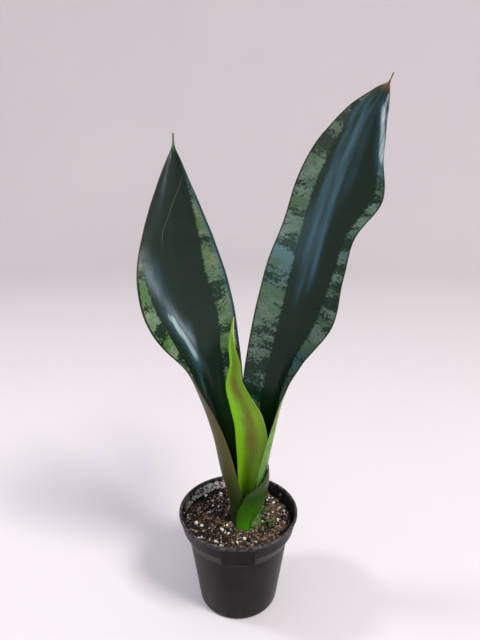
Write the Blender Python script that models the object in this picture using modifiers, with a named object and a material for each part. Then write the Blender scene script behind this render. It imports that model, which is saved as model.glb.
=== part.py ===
"""Potted snake plant: a rooted pup with two broad leaves, a young leaf and a sheath leaf, in a nursery pot.

Units are millimetres in the tables and metres in Blender (MM converts). +Z is up, -Y is the front.
The origin is on the pot's axis, at the flat underside that the pot rests on.
"""

import math
from collections import namedtuple

import bmesh
import bpy
from mathutils import Vector

MM = 0.001
GAP = 0.3

# Pot, moulded in thin plastic: a tapering collar, a conical step and a tapering body.
POT_HEIGHT = 71.5
RIM_RADIUS = 42.0
LIP_HEIGHT = 1.6
LIP_WIDTH = 1.8
LIP_ROUND = 0.8
COLLAR_TOP_RADIUS = 41.2
COLLAR_BOTTOM_RADIUS = 39.6
COLLAR_BOTTOM = POT_HEIGHT - 10.8
STEP_RADIUS = 35.3
STEP_BOTTOM = POT_HEIGHT - 19.0
FOOT_RADIUS = 27.8
FOOT_ROUND = 2.6
WALL = 1.1
FLOOR = 1.5
POT_STEPS = 48
HOLLOW_ABOVE_RIM = 5.0
WALL_HEIGHTS = (POT_HEIGHT - LIP_HEIGHT, COLLAR_BOTTOM, STEP_BOTTOM, FOOT_ROUND + FLOOR)
WALL_RADII = (COLLAR_TOP_RADIUS, COLLAR_BOTTOM_RADIUS, STEP_RADIUS, FOOT_RADIUS)
LABEL_WIDTH = 23.0
LABEL_BOTTOM = POT_HEIGHT - 14.0
LABEL_FACE = 41.2
LABEL_BACK = 37.0
LABEL_CORNER = 3.0
DRAIN_COUNT = 6
DRAIN_RADIUS = 3.5
DRAIN_CIRCLE = 18.5
DRAIN_CUT = 6.0

# Potting mix, filled to a little below the rim.
SOIL_TOP = 62.3
SOIL_ROUGHNESS = 0.7
SOIL_STEPS = 40
SOIL_RING_SHARES = (0, 0.3, 0.5, 0.7, 0.86)
POCKET_CENTRE = (4.9, 0.0)
POCKET_RADIUS = 12.5
POCKET_FLOOR = 49.0
POCKET_DEPTH = 30.0

# Underground stem and the thick roots that leave it.
RHIZOME_TOP = 52.2
RHIZOME_RADII = (11.4, 11.0, 7.0)
ROOT_COUNT = 5
ROOT_RADIUS = 1.3
ROOT_START = 2.0
ROOT_REACH = 15.0
ROOT_SWAY = 3.0
ROOT_DROP = 26.0

# Resolution of the leaf lofts.
ADAXIAL_POINTS = 9

# One cross-section of a leaf. The midrib passes through (across, back, height); left and right are the
# widths of the two halves measured along the blade, each curled towards the upper face by its cup angle,
# and turn swings the upper face from the front towards +X.
Station = namedtuple("Station", "height across back left right cup_left cup_right turn")

LEAF_LEFT = (
    Station(52.5, -3.6, 1.8, 12.5, 12.5, 80, 80, 78),
    Station(64, -3.8, 2.0, 13.0, 12.5, 84, 80, 78),
    Station(82, -5.5, 3.0, 16.5, 13.5, 108, 85, 72),
    Station(102, -9.8, 4.0, 20.0, 17.0, 120, 82, 62),
    Station(130, -13.6, 5.5, 22.5, 20.5, 110, 68, 52),
    Station(158, -18.5, 7.0, 25.5, 24.0, 94, 48, 42),
    Station(184, -23.0, 8.0, 28.5, 25.5, 82, 36, 29),
    Station(210, -31.0, 9.0, 34.5, 30.0, 58, 36, 20),
    Station(238, -39.0, 10.0, 28.5, 31.0, 34, 30, 14),
    Station(266, -41.5, 11.5, 19.0, 25.0, 34, 30, 10),
    Station(292, -40.6, 13.0, 11.2, 14.0, 50, 36, 8),
    Station(310, -39.4, 14.3, 4.4, 4.6, 55, 50, 5),
    Station(317, -39.3, 14.8, 1.0, 1.0, 60, 60, 5),
    Station(324.5, -39.3, 15.2, 0.5, 0.5, 60, 60, 5),
)

LEAF_RIGHT = (
    Station(52.5, 11.7, -0.5, 9.0, 9.0, 84, 84, -80),
    Station(64, 11.8, -0.5, 9.0, 9.0, 84, 84, -80),
    Station(82, 15.0, 0.0, 11.5, 11.0, 88, 90, -74),
    Station(102, 17.6, 1.4, 16.0, 14.0, 82, 92, -66),
    Station(130, 21.0, 3.2, 20.0, 15.0, 66, 98, -48),
    Station(158, 25.4, 5.5, 24.0, 12.6, 46, 84, -33),
    Station(184, 32.0, 8.5, 27.0, 16.8, 28, 58, -25),
    Station(210, 40.0, 11.5, 29.8, 26.5, 34, 46, -20),
    Station(238, 48.6, 15.5, 31.0, 21.8, 26, 34, -16),
    Station(266, 56.5, 20.5, 28.0, 20.8, 18, 30, -14),
    Station(292, 66.0, 25.0, 29.5, 28.5, 36, 32, -12),
    Station(316, 75.0, 28.5, 25.5, 18.5, 46, 38, -10),
    Station(336, 82.5, 30.8, 15.5, 13.0, 54, 58, -8),
    Station(347, 88.4, 31.7, 7.5, 7.5, 60, 66, -6),
    Station(352, 91.6, 32.1, 3.6, 3.0, 60, 60, -5),
    Station(354.5, 93.0, 32.3, 1.1, 1.1, 60, 60, -5),
    Station(360.5, 95.6, 32.6, 0.5, 0.5, 60, 60, -5),
)

LEAF_YOUNG = (
    Station(54, 5.3, 2.6, 4.6, 4.6, 76, 76, 5),
    Station(66, 5.3, 2.6, 4.8, 4.8, 76, 76, 5),
    Station(84, 5.2, 2.0, 6.5, 6.5, 74, 74, 8),
    Station(104, 6.2, 0.0, 10.0, 9.5, 70, 70, 12),
    Station(128, 7.6, -2.0, 13.5, 13.5, 64, 66, 15),
    Station(143, 5.5, -3.0, 11.5, 12.0, 58, 58, 15),
    Station(158, 0.6, -4.0, 8.8, 9.0, 60, 55, 12),
    Station(171, -3.2, -5.0, 7.0, 7.0, 72, 60, 8),
    Station(184, -3.0, -5.5, 3.4, 5.2, 80, 60, 4),
    Station(196, -4.2, -5.6, 2.4, 3.0, 80, 70, 2),
    Station(208, -3.6, -5.5, 1.0, 1.0, 60, 60, 0),
    Station(215, -2.7, -5.3, 0.4, 0.4, 60, 60, 0),
)

LEAF_SHEATH = (
    Station(53, 16.2, 0.6, 19.0, 23.5, 98, 120, -86),
    Station(72, 16.3, 0.2, 18.0, 25.0, 94, 128, -86),
    Station(82, 18.4, -0.8, 15.0, 23.5, 76, 119, -86),
    Station(92, 20.4, -2.2, 10.0, 20.0, 52, 104, -88),
    Station(100, 21.1, -3.8, 5.5, 12.5, 36, 76, -90),
    Station(106, 20.8, -5.2, 2.2, 4.6, 30, 48, -90),
    Station(110.5, 20.4, -6.2, 0.5, 0.5, 30, 30, -90),
)

DRY_SCALE = (
    Station(64.5, 11.8, -10.6, 4.5, 4.0, 22, 22, -146),
    Station(69, 12.5, -11.2, 4.0, 3.4, 26, 20, -146),
    Station(73, 13.4, -12.0, 2.4, 2.0, 30, 20, -150),
    Station(76.5, 14.6, -13.4, 0.6, 0.5, 30, 30, -155),
)

# Larger granules of white perlite lying on the mix: across, back, radius.
PERLITE = (
    (-25.0, 25.5, 1.5),
    (-13.5, 28.0, 1.3),
    (-18.9, 13.7, 1.0),
    (-29.6, -7.2, 1.7),
    (-25.6, -8.6, 1.3),
    (-11.0, -13.8, 1.2),
    (-6.6, -16.6, 1.1),
    (4.3, -22.3, 1.3),
    (-0.6, -26.2, 1.1),
    (-15.3, -24.7, 1.1),
    (-25.0, -20.4, 1.0),
    (26.4, 16.6, 1.2),
    (21.8, 20.6, 0.9),
    (25.0, 5.6, 1.0),
    (28.2, -2.6, 1.6),
    (33.5, 7.9, 1.0),
)

SEEDLING_PLACE = (23.5, -6.8)
SEEDLING_BLADES = 6


def clear_scene():
    for obj in list(bpy.data.objects):
        bpy.data.objects.remove(obj, do_unlink=True)


def collection(name, hidden=False):
    made = bpy.data.collections.new(name)
    bpy.context.scene.collection.children.link(made)
    made.hide_render = hidden
    return made


def material(name, colour, roughness):
    made = bpy.data.materials.new(name)
    made.use_nodes = True
    shader = made.node_tree.nodes["Principled BSDF"]
    shader.inputs["Base Color"].default_value = (*colour, 1.0)
    shader.inputs["Roughness"].default_value = roughness
    shader.inputs["Metallic"].default_value = 0.0
    return made


def add_object(name, mesh, group, finish=None):
    obj = bpy.data.objects.new(name, mesh)
    group.objects.link(obj)
    if finish:
        mesh.materials.append(finish)
        mesh.shade_smooth()
        mesh.set_sharp_from_angle(angle=math.radians(40))
    return obj


def mesh_from(name, make):
    """A mesh that make() fills through bmesh."""
    mesh = bpy.data.meshes.new(name)
    bm = bmesh.new()
    make(bm)
    bm.to_mesh(mesh)
    bm.free()
    return mesh


def as_cutter(obj):
    obj.hide_render = True
    obj.display_type = "WIRE"
    return obj


def boolean(obj, other, operation):
    modifier = obj.modifiers.new(operation.title() + " " + other.name, "BOOLEAN")
    modifier.operation = operation
    modifier.object = other
    modifier.solver = "EXACT"


def turned(name, profile, steps, group, finish=None):
    """A closed solid turned about Z from a profile of (radius, height), listed down its outer side."""

    def make(bm):
        verts = [bm.verts.new((radius * MM, 0, height * MM)) for radius, height in profile]
        for first, second in zip(verts, verts[1:]):
            bm.edges.new((first, second))

    obj = add_object(name, mesh_from(name, make), group, finish)
    screw = obj.modifiers.new("Turn", "SCREW")
    screw.axis = "Z"
    screw.angle = math.tau
    screw.steps = steps
    screw.render_steps = steps
    screw.use_merge_vertices = True
    screw.merge_threshold = 0.00005
    screw.use_smooth_shade = True
    return obj


def rounded_corner(centre_radius, centre_height, size, start, end, count=4):
    """Points of (radius, height) on an arc, from the start angle to the end angle in degrees."""
    angles = [math.radians(start + (end - start) * i / (count - 1)) for i in range(count)]
    return [(centre_radius + size * math.cos(a), centre_height + size * math.sin(a)) for a in angles]


def inner_wall_radius(height):
    """Radius of the pot's inner wall at a height between its floor and its lip."""
    i = min(k for k in range(1, len(WALL_HEIGHTS)) if height >= WALL_HEIGHTS[k] or k == len(WALL_HEIGHTS) - 1)
    high, low = WALL_HEIGHTS[i - 1], WALL_HEIGHTS[i]
    outer, inner = WALL_RADII[i - 1], WALL_RADII[i]
    return inner + (outer - inner) * (height - low) / (high - low) - WALL


def make_pot(group, cutters, finish):
    lip = rounded_corner(RIM_RADIUS - LIP_ROUND, POT_HEIGHT - LIP_ROUND, LIP_ROUND, 90, 0, 3)
    foot = rounded_corner(FOOT_RADIUS - FOOT_ROUND, FOOT_ROUND, FOOT_ROUND, -8, -90, 4)
    collar_top = POT_HEIGHT - LIP_HEIGHT - (RIM_RADIUS - COLLAR_TOP_RADIUS)
    outer = [(0, POT_HEIGHT), *lip, (RIM_RADIUS, POT_HEIGHT - LIP_HEIGHT)]
    outer += [(COLLAR_TOP_RADIUS, collar_top), (COLLAR_BOTTOM_RADIUS, COLLAR_BOTTOM)]
    outer += [(STEP_RADIUS, STEP_BOTTOM), *foot, (0, 0)]
    pot = turned("pot", outer, POT_STEPS, group, finish)

    mouth = RIM_RADIUS - LIP_WIDTH
    inner = [(0, POT_HEIGHT + HOLLOW_ABOVE_RIM), (mouth, POT_HEIGHT + HOLLOW_ABOVE_RIM), (mouth, POT_HEIGHT)]
    inner += [(inner_wall_radius(height), height) for height in WALL_HEIGHTS]
    inner += [(FOOT_RADIUS - FOOT_ROUND, FLOOR), (0, FLOOR)]
    hollow = as_cutter(turned("pot_hollow", inner, POT_STEPS, cutters))

    depth = LABEL_FACE - LABEL_BACK
    label_height = POT_HEIGHT - LIP_HEIGHT - LABEL_BOTTOM

    def make_label(bm):
        bmesh.ops.create_cube(bm, size=1)
        bmesh.ops.scale(bm, vec=Vector((LABEL_WIDTH, depth, label_height)) * MM, verts=bm.verts)
        uprights = [e for e in bm.edges if abs(e.verts[0].co.z - e.verts[1].co.z) < MM and
                    abs(e.verts[0].co.x - e.verts[1].co.x) < MM and e.verts[0].co.z < 0]
        bmesh.ops.bevel(bm, geom=uprights, offset=LABEL_CORNER * MM, segments=3, affect="EDGES", profile=0.5)

    label = as_cutter(add_object("label_panel", mesh_from("label_panel", make_label), cutters))
    label.location = Vector((0, -(LABEL_FACE + LABEL_BACK) / 2, LABEL_BOTTOM + label_height / 2)) * MM
    boolean(pot, label, "UNION")
    boolean(pot, hollow, "DIFFERENCE")

    for i in range(DRAIN_COUNT):
        angle = math.tau * (i + 0.5) / DRAIN_COUNT

        def make_drain(bm):
            bmesh.ops.create_cone(bm, cap_ends=True, segments=16, radius1=DRAIN_RADIUS * MM,
                                  radius2=DRAIN_RADIUS * MM, depth=DRAIN_CUT * MM)

        drain = as_cutter(add_object(f"drain_{i}", mesh_from("drain", make_drain), cutters))
        drain.location = Vector((DRAIN_CIRCLE * math.cos(angle), DRAIN_CIRCLE * math.sin(angle), FLOOR / 2)) * MM
        boolean(pot, drain, "DIFFERENCE")


def soil_unevenness(x, y):
    """How far the mix stands above its mean level at a place, in millimetres."""
    waves = math.sin(0.31 * x + 1.3) * math.cos(0.27 * y - 0.4) + 0.6 * math.sin(0.53 * x - 0.44 * y + 2.1)
    return SOIL_ROUGHNESS * waves


def make_soil(group, cutters, finish):
    heights = (SOIL_TOP, *WALL_HEIGHTS[1:3], WALL_HEIGHTS[3] + 1)
    profile = [(inner_wall_radius(height) - 2 * GAP, height) for height in heights]
    profile += [(FOOT_RADIUS - FOOT_ROUND - FLOOR, FLOOR + GAP), (0, FLOOR + GAP)]
    top_rings = [(profile[0][0] * share, SOIL_TOP) for share in SOIL_RING_SHARES]

    def make(bm):
        points = [Vector((radius * MM, 0, height * MM)) for radius, height in top_rings + profile]
        verts = [bm.verts.new(point) for point in points]
        edges = [bm.edges.new(pair) for pair in zip(verts, verts[1:])]
        bmesh.ops.spin(bm, geom=verts + edges, cent=(0, 0, 0), axis=(0, 0, 1), angle=math.tau,
                       steps=SOIL_STEPS, use_merge=True, use_duplicate=False)
        bmesh.ops.remove_doubles(bm, verts=bm.verts, dist=0.01 * MM)
        for vert in bm.verts:
            if vert.co.z > (SOIL_TOP - 0.1) * MM:
                vert.co.z += soil_unevenness(vert.co.x / MM, vert.co.y / MM) * MM
        bmesh.ops.recalc_face_normals(bm, faces=bm.faces)

    soil = add_object("potting_mix", mesh_from("potting_mix", make), group, finish)

    def make_pocket(bm):
        bmesh.ops.create_cone(bm, cap_ends=True, segments=28, radius1=POCKET_RADIUS * MM,
                              radius2=POCKET_RADIUS * MM, depth=POCKET_DEPTH * MM)

    pocket = as_cutter(add_object("crown_pocket", mesh_from("crown_pocket", make_pocket), cutters))
    pocket.location = Vector((*POCKET_CENTRE, POCKET_FLOOR + POCKET_DEPTH / 2)) * MM
    boolean(soil, pocket, "DIFFERENCE")
    return soil


def make_ball(name, centre, radii, group, finish=None, fineness=2):
    """An ellipsoid, with its shape in the mesh and its object unscaled."""

    def make(bm):
        bmesh.ops.create_icosphere(bm, subdivisions=fineness, radius=1.0)
        bmesh.ops.scale(bm, vec=Vector(radii) * MM, verts=bm.verts)

    obj = add_object(name, mesh_from(name, make), group, finish)
    obj.location = Vector(centre) * MM
    return obj


def root_route(index):
    """Points down one root, from inside the rhizome outwards and down, in millimetres."""
    angle = math.tau * (index + 0.3) / ROOT_COUNT
    reach = ROOT_REACH * (1 + 0.17 * math.sin(2.3 * index))
    centre = Vector((*POCKET_CENTRE, RHIZOME_TOP - RHIZOME_RADII[2]))
    out = Vector((math.cos(angle), math.sin(angle), 0))
    across = Vector((-out.y, out.x, 0))
    points = []
    for t in (0, 0.25, 0.5, 0.75, 1):
        sway = ROOT_SWAY * math.sin(3.4 * t + index)
        points.append(centre + out * (ROOT_START + reach * t) + across * sway - Vector((0, 0, ROOT_DROP * t * t)))
    return points


def make_root(name, index, radius, group, past_end=0.0):
    """One tapering root as a closed mesh, optionally longer by past_end."""
    points = root_route(index)
    points[-1] = points[-1] + (points[-1] - points[-2]).normalized() * past_end
    curve = bpy.data.curves.new(name + "_curve", "CURVE")
    curve.dimensions = "3D"
    curve.bevel_depth = radius * MM
    curve.bevel_resolution = 2
    curve.use_fill_caps = True
    spline = curve.splines.new("POLY")
    spline.points.add(len(points) - 1)
    for place, point in zip(spline.points, points):
        place.co = (*(point * MM), 1.0)
    guide = bpy.data.objects.new(name + "_curve", curve)
    group.objects.link(guide)
    bpy.context.view_layer.update()
    graph = bpy.context.evaluated_depsgraph_get()
    mesh = bpy.data.meshes.new_from_object(guide.evaluated_get(graph))
    bpy.data.objects.remove(guide, do_unlink=True)
    bm = bmesh.new()
    bm.from_mesh(mesh)
    bmesh.ops.remove_doubles(bm, verts=bm.verts, dist=0.01 * MM)
    bmesh.ops.recalc_face_normals(bm, faces=bm.faces)
    bm.to_mesh(mesh)
    bm.free()
    return as_cutter(add_object(name, mesh, group))


def make_rhizome(soil, group, cutters, finish):
    centre = (*POCKET_CENTRE, RHIZOME_TOP - RHIZOME_RADII[2])
    rhizome = make_ball("rhizome", centre, RHIZOME_RADII, group, finish)
    room = [radius + 2 * GAP for radius in RHIZOME_RADII]
    boolean(soil, as_cutter(make_ball("rhizome_room", centre, room, cutters)), "DIFFERENCE")
    for i in range(ROOT_COUNT):
        boolean(rhizome, make_root(f"root_{i}", i, ROOT_RADIUS, cutters), "UNION")
        boolean(soil, make_root(f"root_room_{i}", i, ROOT_RADIUS + 1.5 * GAP, cutters, 1.0), "DIFFERENCE")


def smooth_curve(stations, field, height):
    """A value of the stations at a height, on a smooth curve through all of them."""
    heights = [station.height for station in stations]
    values = [getattr(station, field) for station in stations]
    steps = [b - a for a, b in zip(heights, heights[1:])]
    rises = [(b - a) / step for a, b, step in zip(values, values[1:], steps)]
    slopes = [rises[0]]
    for i in range(1, len(rises)):
        slopes.append((rises[i - 1] * steps[i] + rises[i] * steps[i - 1]) / (steps[i] + steps[i - 1]))
    slopes.append(rises[-1])
    i = max(k for k in range(len(steps)) if height >= heights[k])
    t = (height - heights[i]) / steps[i]
    start = values[i] * (1 + 2 * t) * (1 - t) ** 2 + values[i + 1] * t * t * (3 - 2 * t)
    return start + steps[i] * t * (1 - t) * (slopes[i] * (1 - t) - slopes[i + 1] * t)


def leaf_section(stations, height, thickness):
    """The closed ring of points round a leaf at a height of its midrib, upper face first."""
    value = {field: smooth_curve(stations, field, height) for field in Station._fields[1:]}
    midrib = Vector((value["across"], value["back"], height))
    step = 0.5
    ends = [min(max(height + d, stations[0].height), stations[-1].height) for d in (-step, step)]
    low, high = [Vector((smooth_curve(stations, "across", h), smooth_curve(stations, "back", h), h)) for h in ends]
    along = (high - low).normalized()
    turn = math.radians(value["turn"])
    wide = Vector((math.cos(turn), math.sin(turn), 0))
    wide = (wide - along * wide.dot(along)).normalized()
    upward = wide.cross(along)
    thickness = min(thickness, 0.9 * (value["left"] + value["right"]) / 2)
    count = ADAXIAL_POINTS
    shares = [math.sin(math.pi / 2 * (2 * k / (count - 1) - 1)) for k in range(count)]
    ring = []
    for side, order in ((1, shares), (-1, shares[-2:0:-1])):
        for share in order:
            half = value["left"] if share < 0 else value["right"]
            cup = math.radians(max(value["cup_left"] if share < 0 else value["cup_right"], 1))
            bend = cup * share
            radius = half / cup
            depth = thickness / 2 * max(1 - share * share, 0) ** 0.4
            place = midrib + wide * (radius * math.sin(bend)) + upward * (radius * (1 - math.cos(bend)))
            ring.append(place + (upward * math.cos(bend) - wide * math.sin(bend)) * (side * depth))
    return ring


def make_leaf(name, stations, thicknesses, rings_per_station, group, finish):
    """A leaf lofted through its stations, as one closed solid; its thickness runs from its base to its tip."""
    thickness_low, thickness_high = thicknesses
    first, last = stations[0].height, stations[-1].height
    heights = []
    for low, high in zip(stations, stations[1:]):
        rise = (high.height - low.height) / rings_per_station
        heights += [low.height + rise * k for k in range(rings_per_station)]
    heights.append(last)

    def make(bm):
        rings = []
        for height in heights:
            thickness = thickness_low + (thickness_high - thickness_low) * (height - first) / (last - first)
            rings.append([bm.verts.new(point * MM) for point in leaf_section(stations, height, thickness)])
        for lower, upper in zip(rings, rings[1:]):
            for k in range(len(lower)):
                n = (k + 1) % len(lower)
                bm.faces.new((lower[k], lower[n], upper[n], upper[k]))
        bm.faces.new(rings[0][::-1])
        bm.faces.new(rings[-1])
        bmesh.ops.recalc_face_normals(bm, faces=bm.faces)

    return add_object(name, mesh_from(name, make), group, finish)


def resting_level(soil, across, back, reach):
    """The lowest height that clears the mix under a round piece of this reach."""
    bpy.context.view_layer.update()
    solid = soil.evaluated_get(bpy.context.evaluated_depsgraph_get())
    levels = []
    for k in range(9):
        spread = reach if k else 0
        angle = k * math.tau / 8
        start = Vector((across + spread * math.cos(angle), back + spread * math.sin(angle), POT_HEIGHT))
        place = solid.ray_cast(start * MM, Vector((0, 0, -1)))[1]
        levels.append(place.z / MM)
    return max(levels) + GAP


def make_perlite(soil, group, finish):
    for i, (across, back, radius) in enumerate(PERLITE):
        radii = (radius, radius * (0.8 + 0.15 * math.sin(2.1 * i)), radius * 0.75)
        level = resting_level(soil, across, back, 0.5 * radius) + radii[2]
        granule = make_ball(f"perlite_{i + 1:02d}", (across, back, level), radii, group, finish)
        granule.rotation_euler = (0, 0, 1.7 * i)


def make_seedling(soil, group, cutters, finish):
    x, y = SEEDLING_PLACE
    level = resting_level(soil, x, y, 1.5) + 1.2
    seedling = make_ball("seedling", (x, y, level), (0.9, 0.9, 1.2), group, finish, 1)
    for i in range(SEEDLING_BLADES):
        angle = math.tau * i / SEEDLING_BLADES + 0.4
        reach = 2.0 + 0.6 * math.sin(2.7 * i)
        centre = (x + reach * math.cos(angle), y + reach * math.sin(angle), level + 0.9 + 0.4 * math.sin(1.9 * i))
        blade = as_cutter(make_ball(f"blade_{i}", centre, (reach + 0.3, 0.9, 0.4), cutters, None, 1))
        blade.rotation_euler = (0, -0.45, angle)
        boolean(seedling, blade, "UNION")


def main():
    clear_scene()
    parts = collection("potted_snake_plant")
    cutters = collection("cutters", hidden=True)

    plastic = material("pot_plastic", (0.012, 0.011, 0.012), 0.38)
    peat = material("peat_mix", (0.045, 0.028, 0.018), 0.95)
    stem = material("rhizome_skin", (0.52, 0.33, 0.12), 0.6)
    dark_leaf = material("leaf_dark", (0.018, 0.055, 0.025), 0.3)
    young_leaf = material("leaf_young", (0.23, 0.40, 0.03), 0.35)
    sheath_leaf = material("leaf_sheath", (0.09, 0.28, 0.03), 0.35)
    papery = material("dry_sheath", (0.55, 0.42, 0.22), 0.7)
    perlite = material("perlite", (0.82, 0.79, 0.74), 0.9)
    seedling = material("seedling_green", (0.08, 0.22, 0.03), 0.5)

    make_pot(parts, cutters, plastic)
    soil = make_soil(parts, cutters, peat)
    make_rhizome(soil, parts, cutters, stem)
    make_leaf("leaf_left", LEAF_LEFT, (2.4, 1.4), 3, parts, dark_leaf)
    make_leaf("leaf_right", LEAF_RIGHT, (2.2, 1.4), 3, parts, dark_leaf)
    make_leaf("leaf_young", LEAF_YOUNG, (1.5, 1.0), 2, parts, young_leaf)
    make_leaf("sheath_leaf", LEAF_SHEATH, (1.2, 0.8), 3, parts, sheath_leaf)
    make_leaf("dry_scale", DRY_SCALE, (0.6, 0.5), 2, parts, papery)
    make_perlite(soil, parts, perlite)
    make_seedling(soil, parts, cutters, seedling)


main()
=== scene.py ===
"""The looks of a potted snake plant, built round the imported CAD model.

Lengths in the tables and functions are in millimetres in the row frame: +X right, -Y the front, +Z up, and
the origin under the pot's axis. Meshes are turned into metres when they are made.
"""

import math
from collections import namedtuple

import bmesh
import bpy
import numpy as np
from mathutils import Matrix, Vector, noise
from mathutils.bvhtree import BVHTree


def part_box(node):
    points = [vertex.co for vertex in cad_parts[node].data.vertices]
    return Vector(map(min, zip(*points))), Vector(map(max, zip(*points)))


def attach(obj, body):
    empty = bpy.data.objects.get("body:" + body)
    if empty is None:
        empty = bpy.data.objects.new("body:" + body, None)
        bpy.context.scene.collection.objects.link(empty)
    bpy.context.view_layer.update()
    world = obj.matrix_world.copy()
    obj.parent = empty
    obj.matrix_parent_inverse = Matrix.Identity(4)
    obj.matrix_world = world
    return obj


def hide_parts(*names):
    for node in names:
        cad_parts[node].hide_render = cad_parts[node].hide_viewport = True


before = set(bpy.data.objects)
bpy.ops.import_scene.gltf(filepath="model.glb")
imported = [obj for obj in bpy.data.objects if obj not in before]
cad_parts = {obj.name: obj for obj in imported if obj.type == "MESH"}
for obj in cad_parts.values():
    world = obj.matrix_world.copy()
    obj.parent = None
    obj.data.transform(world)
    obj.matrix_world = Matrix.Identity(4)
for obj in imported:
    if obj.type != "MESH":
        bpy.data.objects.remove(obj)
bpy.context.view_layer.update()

MM = 0.001
SEED = 11


def node_box(node):
    """A CAD node's lowest and highest corners, in millimetres."""
    low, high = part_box(node)
    return np.array(low) / MM, np.array(high) / MM


# The pot's outline, measured down from its rim and inwards from its edge.
POT_LOW, POT_HIGH = node_box("pot")
RIM_RADIUS = POT_HIGH[0]
RIM_TOP = POT_HIGH[2]
LIP_HEIGHT = 1.6
LIP_WIDTH = 1.8
COLLAR_TOP_RADIUS = RIM_RADIUS - 0.8
COLLAR_BOTTOM_RADIUS = RIM_RADIUS - 2.4
COLLAR_BOTTOM = RIM_TOP - 10.8
STEP_RADIUS = RIM_RADIUS - 6.7
STEP_BOTTOM = RIM_TOP - 19.0
FOOT_RADIUS = RIM_RADIUS - 14.2
FOOT_ROUND = 2.6
WALL = 1.1
FLOOR = 1.5
LABEL_WIDTH = 23.0
LABEL_BOTTOM = RIM_TOP - 14.0
LABEL_FACE = RIM_RADIUS - 0.8
LABEL_CORNER = 3.0
DRAIN_COUNT = 6
DRAIN_RADIUS = 3.5
DRAIN_DRAFT = 0.15
DRAIN_CIRCLE = 18.5

# The potting mix.
SOIL_LOW, SOIL_HIGH = node_box("potting_mix")
SOIL_TOP = SOIL_HIGH[2] - 1.1
SOIL_RADIUS = SOIL_HIGH[0]

# One cross-section of a leaf, as in the CAD source. The midrib passes through (across, back, height); left
# and right are the widths of the two halves along the blade, each curled towards the upper face by its cup
# angle, and turn swings the upper face from the front towards +X.
Station = namedtuple("Station", "height across back left right cup_left cup_right turn")

LEAF_LEFT = (
    Station(52.5, -3.6, 1.8, 12.5, 12.5, 80, 80, 78),
    Station(64, -3.8, 2.0, 13.0, 12.5, 84, 80, 78),
    Station(82, -5.5, 3.0, 16.5, 13.5, 108, 85, 72),
    Station(102, -9.8, 4.0, 20.0, 17.0, 120, 82, 62),
    Station(130, -13.6, 5.5, 22.5, 20.5, 110, 68, 52),
    Station(158, -18.5, 7.0, 25.5, 24.0, 94, 48, 42),
    Station(184, -23.0, 8.0, 28.5, 25.5, 82, 36, 29),
    Station(210, -31.0, 9.0, 34.5, 30.0, 58, 36, 20),
    Station(238, -39.0, 10.0, 28.5, 31.0, 34, 30, 14),
    Station(266, -41.5, 11.5, 19.0, 25.0, 34, 30, 10),
    Station(292, -40.6, 13.0, 11.2, 14.0, 50, 36, 8),
    Station(310, -39.4, 14.3, 4.4, 4.6, 55, 50, 5),
    Station(317, -39.3, 14.8, 1.0, 1.0, 60, 60, 5),
    Station(324.5, -39.3, 15.2, 0.5, 0.5, 60, 60, 5),
)

LEAF_RIGHT = (
    Station(52.5, 11.7, -0.5, 9.0, 9.0, 84, 84, -80),
    Station(64, 11.8, -0.5, 9.0, 9.0, 84, 84, -80),
    Station(82, 15.0, 0.0, 11.5, 11.0, 88, 90, -74),
    Station(102, 17.6, 1.4, 16.0, 14.0, 82, 92, -66),
    Station(130, 21.0, 3.2, 20.0, 15.0, 66, 98, -48),
    Station(158, 25.4, 5.5, 24.0, 12.6, 46, 84, -33),
    Station(184, 32.0, 8.5, 27.0, 16.8, 28, 58, -25),
    Station(210, 40.0, 11.5, 29.8, 26.5, 34, 46, -20),
    Station(238, 48.6, 15.5, 31.0, 21.8, 26, 34, -16),
    Station(266, 56.5, 20.5, 28.0, 20.8, 18, 30, -14),
    Station(292, 66.0, 25.0, 29.5, 28.5, 36, 32, -12),
    Station(316, 75.0, 28.5, 25.5, 18.5, 46, 38, -10),
    Station(336, 82.5, 30.8, 15.5, 13.0, 54, 58, -8),
    Station(347, 88.4, 31.7, 7.5, 7.5, 60, 66, -6),
    Station(352, 91.6, 32.1, 3.6, 3.0, 60, 60, -5),
    Station(354.5, 93.0, 32.3, 1.1, 1.1, 60, 60, -5),
    Station(360.5, 95.6, 32.6, 0.5, 0.5, 60, 60, -5),
)

LEAF_YOUNG = (
    Station(54, 5.3, 2.6, 4.6, 4.6, 76, 76, 5),
    Station(66, 5.3, 2.6, 4.8, 4.8, 76, 76, 5),
    Station(84, 5.2, 2.0, 6.5, 6.5, 74, 74, 8),
    Station(104, 6.2, 0.0, 10.0, 9.5, 70, 70, 12),
    Station(128, 7.6, -2.0, 13.5, 13.5, 64, 66, 15),
    Station(143, 5.5, -3.0, 11.5, 12.0, 58, 58, 15),
    Station(158, 0.6, -4.0, 8.8, 9.0, 60, 55, 12),
    Station(171, -3.2, -5.0, 7.0, 7.0, 72, 60, 8),
    Station(184, -3.0, -5.5, 3.4, 5.2, 80, 60, 4),
    Station(196, -4.2, -5.6, 2.4, 3.0, 80, 70, 2),
    Station(208, -3.6, -5.5, 1.0, 1.0, 60, 60, 0),
    Station(215, -2.7, -5.3, 0.4, 0.4, 60, 60, 0),
)

LEAF_SHEATH = (
    Station(53, 16.2, 0.6, 19.0, 23.5, 98, 120, -86),
    Station(72, 16.3, 0.2, 18.0, 25.0, 94, 128, -86),
    Station(82, 18.4, -0.8, 15.0, 23.5, 76, 119, -86),
    Station(92, 20.4, -2.2, 10.0, 20.0, 52, 104, -88),
    Station(100, 21.1, -3.8, 5.5, 12.5, 36, 76, -90),
    Station(106, 20.8, -5.2, 2.2, 4.6, 30, 48, -90),
    Station(110.5, 20.4, -6.2, 0.5, 0.5, 30, 30, -90),
)

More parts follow.
